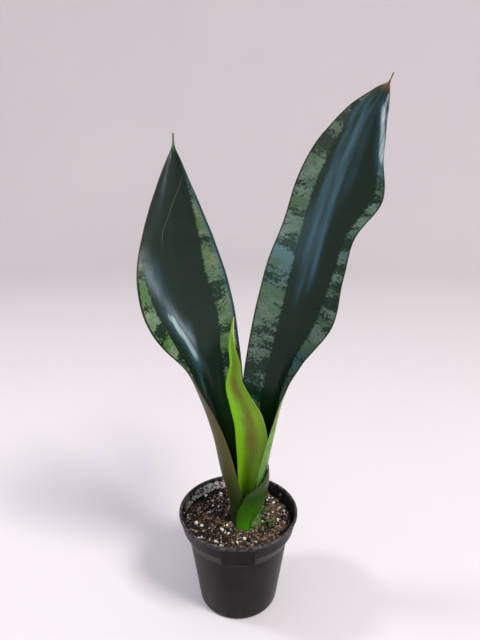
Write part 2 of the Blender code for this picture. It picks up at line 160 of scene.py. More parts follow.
DRY_SCALE = (
    Station(64.5, 11.8, -10.6, 4.5, 4.0, 22, 22, -146),
    Station(69, 12.5, -11.2, 4.0, 3.4, 26, 20, -146),
    Station(73, 13.4, -12.0, 2.4, 2.0, 30, 20, -150),
    Station(76.5, 14.6, -13.4, 0.6, 0.5, 30, 30, -155),
)

# Where the pale band of each half of a broad leaf begins, as a share of that half's width.
Band = namedtuple("Band", "height left right")

BANDS_LEFT = (
    Band(52, 0.90, 0.50),
    Band(120, 0.80, 0.48),
    Band(150, 0.74, 0.48),
    Band(184, 0.68, 0.50),
    Band(208, 0.58, 0.62),
    Band(240, 0.78, 0.60),
    Band(262, 1.02, 0.66),
    Band(290, 1.10, 0.74),
    Band(312, 1.10, 1.00),
)

BANDS_RIGHT = (
    Band(52, 0.60, 0.60),
    Band(130, 0.42, 0.60),
    Band(158, 0.42, 0.45),
    Band(184, 0.40, 0.44),
    Band(218, 0.44, 0.50),
    Band(243, 0.50, 0.66),
    Band(273, 0.58, 0.72),
    Band(303, 0.58, 0.80),
    Band(331, 0.66, 0.95),
    Band(350, 0.92, 1.00),
)

# A streak of painted sheen up a blade, standing in for a long highlight: points of (height, share of the
# half's width), half the streak's width in millimetres, and its strength.
Streak = namedtuple("Streak", "points width strength")

PAINTED_SHEEN_LEFT = (
    Streak(((250, -0.60), (228, -0.42), (205, -0.30)), 4.4, 0.40),
    Streak(((222, -0.44), (210, -0.34), (198, -0.26), (180, -0.21)), 3.4, 1.0),
    Streak(((212, -0.05), (203, -0.10), (180, -0.22), (156, -0.30)), 1.0, 0.55),
    Streak(((312, -0.50), (300, -0.60), (285, -0.62), (270, -0.60)), 3.0, 0.10),
    Streak(((305, 0.97), (285, 0.90), (255, 0.93), (200, 0.95)), 1.6, 0.70),
)

PAINTED_SHEEN_RIGHT = (
    Streak(((346, -0.80), (324, -0.42), (264, -0.26), (222, -0.18)), 1.3, 0.66),
    Streak(((344, -0.50), (332, -0.22), (278, -0.06), (232, 0.02)), 1.5, 0.66),
    Streak(((343, 0.20), (320, 0.16), (290, 0.12)), 1.8, 0.30),
    Streak(((347, 0.45), (338, 0.70), (329, 0.84), (318, 0.90), (308, 0.94)), 3.4, 1.0),
)

# A hairline scratch on the left leaf: the height of its middle, and how far it moves across for its rise.
SCRATCH_CENTRE = 282
SCRATCH_SLOPE = 0.34

# Larger perlite granules keep the CAD's numbering.
PERLITE_NODES = sorted(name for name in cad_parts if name.startswith("perlite_"))


# ---------------------------------------------------------------------------------------------------------
# Meshes


def add_piece(name, points, faces, finish, stands_for=(), smooth=True):
    """A piece of the plant from points in millimetres. It rides on the only body."""
    mesh = bpy.data.meshes.new(name)
    mesh.from_pydata((np.asarray(points, float) * MM).tolist(), [], faces)
    mesh.materials.append(finish)
    if smooth:
        mesh.shade_smooth()
    obj = bpy.data.objects.new(name, mesh)
    bpy.context.scene.collection.objects.link(obj)
    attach(obj, "root")
    if stands_for:
        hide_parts(*stands_for)
    return obj


def set_attribute(obj, name, values):
    """Stores one number or one vector for each vertex, for the materials to read."""
    values = np.asarray(values, np.float32).ravel()
    kind, field = ("FLOAT", "value") if len(values) == len(obj.data.vertices) else ("FLOAT_VECTOR", "vector")
    attribute = obj.data.attributes.new(name, kind, "POINT")
    attribute.data.foreach_set(field, values)


def outward(obj):
    """Turns the faces of closed shells outwards."""
    bm = bmesh.new()
    bm.from_mesh(obj.data)
    bmesh.ops.recalc_face_normals(bm, faces=bm.faces)
    bm.to_mesh(obj.data)
    bm.free()


def ring_faces(ring_count, ring_size, closed_ends=True):
    """Faces joining closed rings that follow each other, with a cap at each end."""
    faces = []
    last = (ring_count - 1) * ring_size
    for ring in range(0, last, ring_size):
        above = ring + ring_size
        for k in range(ring_size):
            n = (k + 1) % ring_size
            faces.append((ring + k, ring + n, above + n, above + k))
    if closed_ends:
        faces.append(tuple(range(ring_size))[::-1])
        faces.append(tuple(range(last, last + ring_size)))
    return faces


def smooth_step(value, low, high):
    """A soft step from 0 at low to 1 at high."""
    share = np.clip((value - low) / (high - low), 0, 1)
    return share * share * (3 - 2 * share)


def waves(points, scale, seed=0.0):
    """Smooth noise from -1 to 1 at points in millimetres, with features about scale across."""
    shift = Vector((seed * 7.3, seed * 3.1, seed * 5.7))
    return np.array([noise.noise(Vector(point) / scale + shift) for point in points])


# ---------------------------------------------------------------------------------------------------------
# Leaves

LEAF_POINTS = 37
RING_RISE = 1.5
LEAST_RINGS = 4
NO_BAND = -99.0

# A blade's relief: the depth of the groove over its midrib, the height of its ribs, how far its margin waves
# and above which height, and the seed of the waves.
Relief = namedtuple("Relief", "groove rib undulation steady_below seed")


def smooth_curve(stations, field, heights):
    """Values of the stations at some heights, on a smooth curve through all of them."""
    xs = np.array([station.height for station in stations], float)
    ys = np.array([getattr(station, field) for station in stations], float)
    steps = np.diff(xs)
    rises = np.diff(ys) / steps
    slopes = np.empty_like(ys)
    slopes[0], slopes[-1] = rises[0], rises[-1]
    slopes[1:-1] = (rises[:-1] * steps[1:] + rises[1:] * steps[:-1]) / (steps[1:] + steps[:-1])
    i = np.clip(np.searchsorted(xs, heights, side="right") - 1, 0, len(steps) - 1)
    t = (heights - xs[i]) / steps[i]
    start = ys[i] * (1 + 2 * t) * (1 - t) ** 2 + ys[i + 1] * t * t * (3 - 2 * t)
    return start + steps[i] * t * (1 - t) * (slopes[i] * (1 - t) - slopes[i + 1] * t)


def ring_heights(stations, rise):
    """Heights of the loft's rings, with every station among them."""
    heights = []
    for low, high in zip(stations, stations[1:]):
        count = max(LEAST_RINGS, math.ceil((high.height - low.height) / rise))
        heights += list(np.linspace(low.height, high.height, count, endpoint=False))
    return np.array([*heights, stations[-1].height])


def midrib_direction(stations, heights, nudge=0.5):
    """Unit vectors along the midrib at some heights, from points a nudge below and above."""
    ends = []
    for shift in (-nudge, nudge):
        level = np.clip(heights + shift, heights[0], heights[-1])
        across, back = (smooth_curve(stations, field, level) for field in ("across", "back"))
        ends.append(np.stack([across, back, level], -1))
    rise = ends[1] - ends[0]
    return rise / np.linalg.norm(rise, axis=1, keepdims=True)


# A leaf's points and normals, each point's share of its half's width, its face (1 upper, -1 lower), that
# half's width and the height on the midrib, as arrays of rings by points.
Loft = namedtuple("Loft", "points normals share face half height")


def loft_leaf(stations, thicknesses, rise=RING_RISE, count=LEAF_POINTS):
    """A leaf as rings of points round its blade: arrays of rings by points, upper face first."""
    heights = ring_heights(stations, rise)
    value = {field: smooth_curve(stations, field, heights)[:, None] for field in Station._fields[1:]}
    midrib = np.stack([value["across"][:, 0], value["back"][:, 0], heights], -1)[:, None]
    along = midrib_direction(stations, heights)
    turn = np.radians(value["turn"][:, 0])
    wide = np.stack([np.cos(turn), np.sin(turn), 0 * turn], -1)
    wide -= along * np.sum(wide * along, axis=1, keepdims=True)
    wide /= np.linalg.norm(wide, axis=1, keepdims=True)
    upward = np.cross(wide, along)

    spread = np.sin(np.pi / 2 * np.linspace(-1, 1, count))
    share = np.concatenate([spread, spread[-2:0:-1]])[None]
    face = np.concatenate([np.ones(count), -np.ones(count - 2)])[None]
    half = np.where(share < 0, value["left"], value["right"])
    cup = np.radians(np.maximum(np.where(share < 0, value["cup_left"], value["cup_right"]), 1))
    bend, radius = cup * share, half / cup
    thickness = thicknesses[0] + (thicknesses[1] - thicknesses[0]) * np.linspace(0, 1, len(heights))[:, None]
    thickness = np.minimum(thickness, 0.9 * (value["left"] + value["right"]) / 2)
    depth = thickness / 2 * np.maximum(1 - share * share, 0) ** 0.4
    normals = upward[:, None] * np.cos(bend)[..., None] - wide[:, None] * np.sin(bend)[..., None]
    points = midrib + wide[:, None] * (radius * np.sin(bend))[..., None]
    points = points + upward[:, None] * (radius * (1 - np.cos(bend)))[..., None]
    points = points + normals * (face * depth)[..., None]
    full = np.ones_like(bend)
    return Loft(points, normals * face[..., None], share * full, face * full, half, heights[:, None] * full)


def blade_relief(loft, relief):
    """Moves a blade's surface along its normal: a groove over the midrib, fine ribs and a wavy margin."""
    across = loft.share * loft.half
    groove = relief.groove * np.exp(-((across / 1.6) ** 2)) * np.where(loft.face > 0, -1, 0.8)
    ribs = relief.rib * np.sin(across * 2.1 + 0.6 * np.sin(loft.height / 23)) * (1 - loft.share**2)
    grid = np.stack([np.sign(loft.share) * 20, loft.height, 0 * loft.height], -1).reshape(-1, 3)
    sway = waves(grid, 21, relief.seed) + 0.5 * waves(grid, 9, relief.seed + 1)
    sway = sway.reshape(loft.share.shape) * relief.undulation * np.abs(loft.share) ** 2.5 * loft.face
    sway *= smooth_step(loft.height, relief.steady_below, relief.steady_below + 50)
    sway *= smooth_step(loft.half, 3, 12)
    wide_enough = smooth_step(loft.half, 1, 6)
    return loft.points + loft.normals * ((groove + ribs) * wide_enough + sway)[..., None]


def curve_at(points, heights):
    """Shares on a line through (height, share) points, and its strength, which fades at its ends."""
    line_heights, line_shares = zip(*sorted(points))
    shares = np.interp(heights, line_heights, line_shares)
    fade_in = smooth_step(heights, line_heights[0] - 12, line_heights[0] + 10)
    fade_out = 1 - smooth_step(heights, line_heights[-1] - 8, line_heights[-1] + 6)
    return shares, fade_in * fade_out


def painted_sheen_amount(loft, streaks):
    """How strongly the painted sheen, a painted highlight, covers each point of the upper face."""
    amount = np.zeros_like(loft.share)
    for streak in streaks:
        centre, fade = curve_at(streak.points, loft.height)
        distance = (loft.share - centre) * loft.half / streak.width
        amount = np.maximum(amount, streak.strength * fade * np.exp(-(distance**2)))
    return amount * (loft.face > 0)


def add_leaf(
    name, node, stations, thicknesses, finish, relief=None, bands=(), bloom=(), rise=RING_RISE
):
    """A leaf blade centred on the CAD leaf that it stands for, with the places that its material reads."""
    loft = loft_leaf(stations, thicknesses, rise)
    low, high = node_box(node)
    points = blade_relief(loft, relief) if relief else loft.points
    points = points + ((low + high) / 2 - (loft.points.min((0, 1)) + loft.points.max((0, 1))) / 2)
    rings, ring_size = loft.share.shape
    obj = add_piece(name, points.reshape(-1, 3), ring_faces(rings, ring_size), finish, (node,))
    across = loft.share * loft.half
    margin = (1 - np.abs(loft.share)) * loft.half
    set_attribute(obj, "leaf_at", np.stack([across, loft.height, loft.face], -1))
    inner = np.full_like(across, NO_BAND)
    if bands:
        heights = [band.height for band in bands]
        left = np.interp(loft.height, heights, [band.left for band in bands])
        right = np.interp(loft.height, heights, [band.right for band in bands])
        inner = (np.abs(loft.share) - np.where(loft.share < 0, left, right)) * loft.half
    # The band's third part is the strength of the painted sheen: painted highlights in the base colour.
    set_attribute(obj, "leaf_band", np.stack([inner, margin, painted_sheen_amount(loft, bloom)], -1))
    set_attribute(obj, "leaf_share", loft.share)
    outward(obj)


# ---------------------------------------------------------------------------------------------------------
# Materials

COAT_ROUGHNESS = 0.2


class Finish:
    """A material under construction. Each method adds nodes and returns the last one's output."""

    def __init__(self, name, specular, coat=0.0):
        self.material = bpy.data.materials.new(name)
        self.material.use_nodes = True
        self.tree = self.material.node_tree
        self.shader = self.tree.nodes["Principled BSDF"]
        self.shader.inputs["Coat Weight"].default_value = coat
        self.shader.inputs["Coat Roughness"].default_value = COAT_ROUGHNESS
        self.shader.inputs["Specular IOR Level"].default_value = specular

    def put(self, socket, value):
        """Links an output to a socket, or sets the socket to a number or a colour."""
        if isinstance(value, bpy.types.NodeSocket):
            self.tree.links.new(value, socket)
        elif isinstance(value, tuple) and socket.type == "RGBA":
            socket.default_value = (*value, 1.0)
        else:
            socket.default_value = value

    def node(self, kind, **settings):
        made = self.tree.nodes.new(kind)
        for name, value in settings.items():
            setattr(made, name, value)
        return made

    def math(self, operation, first, second=0.0):
        made = self.node("ShaderNodeMath", operation=operation)
        self.put(made.inputs[0], first)
        self.put(made.inputs[1], second)
        return made.outputs[0]

    def times(self, *values):
        product = values[0]
        for value in values[1:]:
            product = self.math("MULTIPLY", product, value)
        return product

    def plus(self, first, second):
        return self.math("ADD", first, second)

    def inverse(self, value):
        return self.math("SUBTRACT", 1.0, value)

    def shifted(self, value, noise, width):
        """A value moved by a noise from 0 to 1, by half of width either way."""
        return self.plus(value, self.times(self.math("SUBTRACT", noise, 0.5), width))

    def step(self, value, low, high):
        """A soft step from 0 at low to 1 at high."""
        made = self.node("ShaderNodeMapRange", interpolation_type="SMOOTHSTEP")
        self.put(made.inputs["Value"], value)
        self.put(made.inputs["From Min"], low)
        self.put(made.inputs["From Max"], high)
        return made.outputs["Result"]

    def fall(self, value, low, high):
        """A soft step from 1 at low to 0 at high."""
        return self.inverse(self.step(value, low, high))

    def scale(self, value, low, high):
        """A value from 0 to 1, stretched to run from low to high."""
        made = self.node("ShaderNodeMapRange")
        self.put(made.inputs["Value"], value)
        self.put(made.inputs["To Min"], low)
        self.put(made.inputs["To Max"], high)
        return made.outputs["Result"]

    def mix(self, share, first, second):
        made = self.node("ShaderNodeMix", data_type="RGBA")
        self.put(made.inputs["Factor"], share)
        self.put(made.inputs[6], first)
        self.put(made.inputs[7], second)
        return made.outputs[2]

    def ramp(self, value, *stops):
        """A colour for a value, through stops of (place, colour)."""
        made = self.node("ShaderNodeValToRGB")
        elements = made.color_ramp.elements
        elements[0].position, elements[1].position = stops[0][0], stops[-1][0]
        elements[0].color, elements[1].color = (*stops[0][1], 1.0), (*stops[-1][1], 1.0)
        for place, colour in stops[1:-1]:
            elements.new(place).color = (*colour, 1.0)
        self.put(made.inputs[0], value)
        return made.outputs["Color"]

    def vector(self, x, y, z):
        made = self.node("ShaderNodeCombineXYZ")
        for socket, value in zip(made.inputs, (x, y, z)):
            self.put(socket, value)
        return made.outputs[0]

    def split(self, vector):
        made = self.node("ShaderNodeSeparateXYZ")
        self.put(made.inputs[0], vector)
        return tuple(made.outputs)

    def attribute(self, name):
        """The three parts of a vector that the mesh stores for each point."""
        return self.split(self.node("ShaderNodeAttribute", attribute_name=name).outputs["Vector"])

    def number(self, name):
        """A number that the mesh stores for each point."""
        return self.node("ShaderNodeAttribute", attribute_name=name).outputs["Fac"]

    def place(self):
        """The object's own coordinates, in metres in the row frame."""
        return self.node("ShaderNodeTexCoord").outputs["Object"]

    def noise(self, vector, scale, detail, roughness, distortion=0.0):
        made = self.node("ShaderNodeTexNoise")
        self.put(made.inputs["Vector"], vector)
        self.put(made.inputs["Scale"], scale)
        self.put(made.inputs["Detail"], detail)
        self.put(made.inputs["Roughness"], roughness)
        self.put(made.inputs["Distortion"], distortion)
        return made.outputs["Fac"]

    def grain(self, at, scales, seed, detail=2, roughness=0.5):
        """Noise at (across, height) on a blade, with so many cycles a millimetre along each."""
        across, height = (self.times(value, scale) for value, scale in zip(at, scales))
        return self.noise(self.vector(across, height, seed), 1, detail, roughness)

    def cells(self, vector, scale):
        made = self.node("ShaderNodeTexVoronoi")
        self.put(made.inputs["Vector"], vector)
        self.put(made.inputs["Scale"], scale)
        return made.outputs["Distance"]

    def bump(self, height, strength, depth, under=None):
        """Relief of a depth in millimetres, on top of another relief if one is given."""
        made = self.node("ShaderNodeBump")
        made.inputs["Strength"].default_value = strength
        made.inputs["Distance"].default_value = depth * MM
        self.put(made.inputs["Height"], height)
        if under:
            self.put(made.inputs["Normal"], under)
        return made.outputs["Normal"]

    def finish(self, colour, roughness, normal=None):
        """Joins the shader's inputs and gives the material."""
        self.put(self.shader.inputs["Base Color"], colour)
        self.put(self.shader.inputs["Roughness"], roughness)
        if normal:
            self.put(self.shader.inputs["Normal"], normal)
        return self.material


def striations(made, at, seed, pitch=1.3):
    """Fine lines that run along a blade, from 0 to 1."""
    coarse = made.grain(at, (pitch * 0.4, 0.012), seed, 2, 0.6)
    fine = made.grain(at, (pitch * 1.6, 0.03), seed + 5, 2, 0.6)
    return made.plus(made.times(coarse, 0.55), made.times(fine, 0.45))


# The look of one broad leaf: its noise's seed, the colours of its bands and, from the foot up, of its lower
# face, its tip's colour and where that starts, the width of the plain border outside the bands, the height
# where the bands start, and how far they turn blue-grey in places.
Look = namedtuple("Look", "seed bands under tip tip_from border bands_from chill")

LOOK_LEFT = Look(
    seed=3.0,
    bands=((0.060, 0.130, 0.040), (0.165, 0.225, 0.118)),
    under=((0.013, 0.034, 0.003), (0.078, 0.068, 0.009), (0.020, 0.038, 0.011)),
    tip=(0.030, 0.090, 0.018),
    tip_from=314,
    border=1.6,
    bands_from=142,
    chill=0.25,
)

LOOK_RIGHT = Look(
    seed=17.0,
    bands=((0.052, 0.098, 0.052), (0.105, 0.150, 0.118)),
    under=((0.035, 0.160, 0.008), (0.150, 0.300, 0.045), (0.022, 0.045, 0.016)),
    tip=(0.110, 0.058, 0.020),
    tip_from=350,
    border=0.8,
    bands_from=90,
    chill=0.65,
)

# What a material knows about a point of a broad leaf, and where the leaf's mottling lies.
Blade = namedtuple("Blade", "at height inner margin bloom upper lines")
Mottle = namedtuple("Mottle", "barred cover flecks inside band")


def read_blade(made, seed):
    across, height, face = made.attribute("leaf_at")
    inner, margin, bloom = made.attribute("leaf_band")
    at = (across, height)
    return Blade(at, height, inner, margin, bloom, made.step(face, -0.2, 0.2), striations(made, at, seed))


def mottling(made, blade, look):
    """Cross bars, patches and flecks, kept between a band's two ragged edges."""
    sway = made.grain(blade.at, (0.04, 0.05), look.seed + 1)
    barred = (blade.at[0], made.shifted(blade.height, sway, 10.0))
    bars = made.grain(barred, (0.022, 0.095), look.seed + 2, 1)
    patches = made.grain(barred, (0.13, 0.30), look.seed + 9, 2, 0.6)
    flecks = made.grain(barred, (0.48, 0.80), look.seed + 3, 3, 0.68)
    cover = made.plus(made.plus(made.times(bars, 0.46), made.times(patches, 0.22)), made.times(flecks, 0.32))
    jag = made.grain(barred, (0.10, 0.50), look.seed + 4, 3, 0.7)
    within = made.step(made.shifted(blade.inner, jag, 5.0), -0.9, 0.7)
    bordered = made.step(made.shifted(blade.margin, jag, 2.0), look.border - 0.5, look.border + 0.7)
    grown = made.step(blade.height, look.bands_from, look.bands_from + 34)
    inside = made.times(within, bordered, grown)
    return Mottle(barred, cover, flecks, inside, made.times(made.step(cover, 0.455, 0.515), inside))


def blade_middle(made, blade, mottle):
    """Near-black green, a little greener at the foot, in its bars and under the bands."""
    colour = made.mix(made.step(blade.height, 70, 190), (0.012, 0.038, 0.005), (0.0040, 0.0128, 0.0060))
    colour = made.mix(made.times(made.step(mottle.cover, 0.45, 0.60), 0.5), colour, (0.0050, 0.0180, 0.0095))
    return made.mix(made.times(mottle.inside, 0.8), colour, (0.0062, 0.0250, 0.0110))


def blade_bands(made, blade, mottle, look):
    """Pale grey-green, darker between the flecks and blue-grey in places."""
    tone = made.grain(blade.at, (0.05, 0.07), look.seed + 6)
    colour = made.mix(made.step(tone, 0.38, 0.62), *look.bands)
    colour = made.mix(made.times(made.step(mottle.flecks, 0.50, 0.36), 0.55), colour, (0.020, 0.052, 0.024))
    chill = made.step(made.grain(blade.at, (0.03, 0.045), look.seed + 12, 1), 0.50, 0.64)
    return made.mix(made.times(chill, look.chill), colour, (0.040, 0.098, 0.112))


def blade_painted_sheen(made, blade, colour):
    """Painted sheen over a colour: a slate-blue painted reflection where it is weak, a nearly white painted
    highlight where it is strong.
    """
    streaky = made.times(blade.bloom, made.scale(made.step(blade.lines, 0.35, 0.62), 0.45, 1.0))
    # The colours of the painted reflection and the painted highlight.
    sheen_colour = made.mix(made.step(blade.bloom, 0.60, 0.92), (0.034, 0.100, 0.142), (0.400, 0.500, 0.500))
    return made.mix(streaky, colour, sheen_colour)


def blade_underside(made, blade, mottle, look):
    """The duller lower face, with faint bars, the bands showing through, and brownish lines."""
    colour = made.mix(made.step(blade.height, 66, 150), *look.under[:2])
    colour = made.mix(made.step(blade.height, 150, 240), colour, look.under[2])
    bars = made.step(made.grain(mottle.barred, (0.030, 0.16), look.seed + 20, 3, 0.6), 0.46, 0.58)
    grown = made.step(blade.height, 110, 200)
    colour = made.mix(made.times(bars, 0.45, grown), colour, (0.034, 0.066, 0.028))
    colour = made.mix(made.times(mottle.band, 0.60), colour, (0.075, 0.115, 0.070))
    return made.mix(made.times(made.step(blade.lines, 0.45, 0.7), 0.30), colour, (0.060, 0.055, 0.020))


def scratch(made, blade):
    """A hairline scratch that climbs across the blade, slightly bowed, from 0 to 1."""
    across, height = blade.at
    run = made.times(made.math("SUBTRACT", height, SCRATCH_CENTRE), SCRATCH_SLOPE)
    bow = made.grain((0.0, height), (0.0, 0.08), 71.0, 1)
    distance = made.math("ABSOLUTE", made.shifted(made.math("SUBTRACT", across, run), bow, 3.0))
    begins = made.step(height, SCRATCH_CENTRE - 24, SCRATCH_CENTRE - 20)
    ends = made.fall(height, SCRATCH_CENTRE + 17, SCRATCH_CENTRE + 20)
    return made.times(made.fall(distance, 0.08, 0.26), made.times(begins, ends), blade.upper)


def broad_leaf_finish(name, look, scratched=False):
    """Waxy near-black green with pale mottled bands along both margins, satin and finely ribbed."""
    made = Finish(name, specular=0.27)
    blade = read_blade(made, look.seed)
    mottle = mottling(made, blade, look)
    colour = made.mix(mottle.band, blade_middle(made, blade, mottle), blade_bands(made, blade, mottle, look))
    # Painted highlights and blue painted reflections, laid into the base colour along the streaks.
    colour = blade_painted_sheen(made, blade, colour)
    colour = made.mix(blade.upper, blade_underside(made, blade, mottle, look), colour)
    colour = made.mix(made.times(made.fall(blade.margin, 0.08, 0.36), 0.65), colour, (0.085, 0.038, 0.014))
    colour = made.mix(made.step(blade.height, look.tip_from - 2, look.tip_from + 4), colour, look.tip)
    if scratched:
        colour = made.mix(made.times(scratch(made, blade), 0.55), colour, (0.115, 0.130, 0.085))
    roughness = made.plus(0.17, made.times(blade.lines, 0.13))
    roughness = made.plus(roughness, made.times(made.inverse(blade.upper), 0.18))
    pitting = made.grain(blade.at, (0.5, 0.5), look.seed + 7)
    ribs = made.bump(blade.lines, 0.22, 0.30)
    return made.finish(colour, roughness, made.bump(pitting, 0.05, 0.25, ribs))


def young_leaf_finish():
    """Yellow-green, limest on its left, with an olive-bronze flush up the middle and a pale right margin,
    partly a dry edge and partly a painted highlight.
    """
    made = Finish("young_leaf", specular=0.22)
    across, height, face = made.attribute("leaf_at")
    margin = made.attribute("leaf_band")[1]
    share = made.number("leaf_share")
    at = (across, height)
    lines = striations(made, at, 31, 1.6)
    patches = made.grain(at, (0.10, 0.05), 33, 3, 0.6)
    soft = made.shifted(share, patches, 0.5)

    colour = made.mix(made.step(soft, -0.70, -0.05), (0.130, 0.315, 0.006), (0.105, 0.225, 0.006))
    colour = made.mix(made.step(soft, 0.05, 0.65), colour, (0.190, 0.340, 0.016))
    up_leaf = made.times(made.step(height, 90, 125), made.fall(height, 176, 205))
    middle = made.times(made.step(soft, -0.62, 0.00), made.fall(soft, 0.12, 0.72))
    flush = made.times(up_leaf, middle, made.step(patches, 0.22, 0.60))
    colour = made.mix(made.times(flush, 0.88), colour, (0.098, 0.082, 0.006))
    colour = made.mix(made.fall(height, 66, 100), colour, (0.125, 0.270, 0.014))
    colour = made.mix(made.times(made.step(lines, 0.48, 0.72), 0.18), colour, (0.170, 0.290, 0.022))
    colour = made.mix(made.times(made.fall(face, -0.2, 0.2), 0.7), colour, (0.075, 0.185, 0.009))
    # A pale strip along the right margin: partly a dry edge, partly a painted highlight.
    dry_edge_and_glint = made.times(made.fall(margin, 0.30, 0.95), made.step(share, 0, 0.1))
    colour = made.mix(made.times(dry_edge_and_glint, made.step(patches, 0.40, 0.58)), colour, (0.420, 0.430, 0.230))
    spots = made.step(made.grain(at, (0.8, 0.5), 37, 1), 0.73, 0.78)
    colour = made.mix(made.times(spots, 0.5), colour, (0.220, 0.105, 0.010))
    return made.finish(colour, made.plus(0.28, made.times(lines, 0.14)), made.bump(lines, 0.30, 0.35))


def sheath_finish():
    """Bright green at the foot, turning dark towards the point and along the margins."""
    made = Finish("sheath", specular=0.25)
    across, height, face = made.attribute("leaf_at")
    margin = made.attribute("leaf_band")[1]
    at = (across, height)
    lines = striations(made, at, 41, 1.4)
    level = made.shifted(height, made.grain(at, (0.10, 0.07), 43, 3, 0.6), 16.0)
    colour = made.mix(made.step(level, 62, 76), (0.050, 0.270, 0.003), (0.034, 0.110, 0.004))
    colour = made.mix(made.step(level, 73, 90), colour, (0.020, 0.050, 0.007))
    colour = made.mix(made.step(level, 94, 106), colour, (0.030, 0.030, 0.010))
    colour = made.mix(made.times(made.step(lines, 0.46, 0.70), 0.22), colour, (0.055, 0.130, 0.010))
    colour = made.mix(made.times(made.fall(margin, 0.20, 0.80), 0.85), colour, (0.030, 0.020, 0.010))
    colour = made.mix(made.times(made.step(face, -0.2, 0.2), 0.4), colour, (0.100, 0.270, 0.016))
    return made.finish(colour, made.plus(0.26, made.times(lines, 0.16)), made.bump(lines, 0.30, 0.35))


def papery_finish():
    """Dry, fibrous skin of an old scale leaf, still green in blotches."""
    made = Finish("papery_scale", specular=0.3)
    at = made.attribute("leaf_at")[:2]
    fibres = made.grain(at, (2.2, 0.12), 51, 3, 0.6)
    blotch = made.grain(at, (0.35, 0.30), 53, 3, 0.6)
    dark, straw, pale = (0.24, 0.20, 0.10), (0.55, 0.52, 0.36), (0.80, 0.78, 0.66)
    colour = made.ramp(fibres, (0.30, dark), (0.55, straw), (0.75, pale))
    colour = made.mix(made.times(made.step(blotch, 0.30, 0.52), 0.92), colour, (0.055, 0.150, 0.014))
    return made.finish(colour, made.scale(blotch, 0.5, 0.8), made.bump(fibres, 0.6, 0.3))


def pot_crust(made, place, grime):
    """Where mineral crust covers the inside of the rim: thick at the back left, thin elsewhere."""
    x, y, z = made.split(place)
    back_left = made.times(made.step(y, 0.004, 0.020), made.fall(x, -0.006, 0.008))
    above_mix = made.step(z, (SOIL_TOP - 0.5) * MM, (SOIL_TOP + 1.0) * MM)
    level = made.times(above_mix, made.fall(z, (RIM_TOP - 3.4) * MM, (RIM_TOP - 1.4) * MM))
    patches = made.plus(made.times(grime, 0.55), made.times(made.noise(place, 160, 3, 0.6), 0.45))
    inner_side = made.number("pot_inside")
    thin = made.times(inner_side, level, made.step(patches, 0.58, 0.64), 0.45)
    thick = made.times(inner_side, level, back_left, made.step(patches, 0.47, 0.53))
    return made.math("MAXIMUM", thick, thin)


def pot_finish():
    """Thin black nursery plastic: satin, scuffed, its rim paler from dust and wear and a painted highlight,
    with a mineral crust inside it.
    """
    made = Finish("nursery_plastic", specular=0.13)
    place = made.place()
    x, y, z = made.split(place)
    angle = made.math("ARCTAN2", y, x)
    streaks = made.noise(made.vector(made.times(angle, 26.0), made.times(z, 40.0), 3.0), 1, 3, 0.6)
    smudge = made.noise(place, 70, 4, 0.62)
    grime = made.noise(place, 420, 4, 0.6)
    colour = made.mix(made.step(smudge, 0.35, 0.7), (0.0048, 0.0042, 0.0040), (0.0105, 0.0088, 0.0080))
    colour = made.mix(made.times(made.step(streaks, 0.54, 0.74), 0.30), colour, (0.022, 0.017, 0.014))

    # A pale grey band round the rim: dust and wear, and a painted highlight.
    rim = made.step(z, (RIM_TOP - 3.0) * MM, (RIM_TOP - 0.2) * MM)
    rim_wear_and_highlight = made.times(rim, made.step(grime, 0.36, 0.62))
    colour = made.mix(made.times(rim_wear_and_highlight, 0.55), colour, (0.150, 0.143, 0.140))
    foot_dust = made.times(made.fall(z, 2 * MM, 16 * MM), made.step(grime, 0.45, 0.7), 0.5)
    colour = made.mix(foot_dust, colour, (0.055, 0.040, 0.030))
    crust = pot_crust(made, place, grime)
    colour = made.mix(crust, colour, (0.50, 0.47, 0.43))
    splashes = made.step(made.noise(place, 900, 2, 0.6), 0.62, 0.70)
    colour = made.mix(made.times(made.number("pot_inside"), splashes, 0.5), colour, (0.10, 0.07, 0.05))

    roughness = made.plus(0.27, made.times(smudge, 0.16))
    roughness = made.plus(roughness, made.times(made.math("MAXIMUM", crust, rim_wear_and_highlight), 0.35))
    normal = made.bump(made.noise(place, 1500, 2, 0.5), 0.10, 0.10)
    normal = made.bump(made.noise(place, 60, 2, 0.5), 0.12, 1.2, normal)
    return made.finish(colour, roughness, made.bump(crust, 0.6, 0.35, normal))


def peat_finish():
    """The body of the mix under the loose crumbs: dark, damp and fibrous."""
    made = Finish("peat_bed", specular=0.25)
    place = made.place()
    lumps = made.noise(place, 320, 5, 0.7)
    strands = made.noise(place, 900, 3, 0.7, 1.5)
    dark, brown, dry_edge_and_glint = (0.006, 0.004, 0.003), (0.028, 0.016, 0.010), (0.075, 0.044, 0.024)
    colour = made.ramp(lumps, (0.32, dark), (0.52, brown), (0.68, dry_edge_and_glint))
    colour = made.mix(made.step(strands, 0.60, 0.72), colour, (0.120, 0.075, 0.035))
    return made.finish(colour, made.scale(lumps, 0.75, 1.0), made.bump(lumps, 0.8, 0.8))


# Colours of the mix's loose bits from the darkest tint to the palest, as (tint, colour).
PEAT_TINTS = (
    (0.10, (0.0035, 0.0024, 0.0020)),
    (0.42, (0.015, 0.0088, 0.0065)),
    (0.68, (0.075, 0.042, 0.027)),
    (0.95, (0.230, 0.145, 0.095)),
)
BARK_TINTS = ((0.05, (0.010, 0.006, 0.004)), (0.45, (0.052, 0.028, 0.017)), (0.95, (0.220, 0.132, 0.078)))
FLAKE_TINTS = ((0.05, (0.070, 0.042, 0.020)), (0.50, (0.200, 0.128, 0.064)), (0.95, (0.400, 0.290, 0.170)))
COIR_TINTS = ((0.05, (0.030, 0.016, 0.009)), (0.50, (0.130, 0.070, 0.036)), (0.95, (0.320, 0.205, 0.115)))


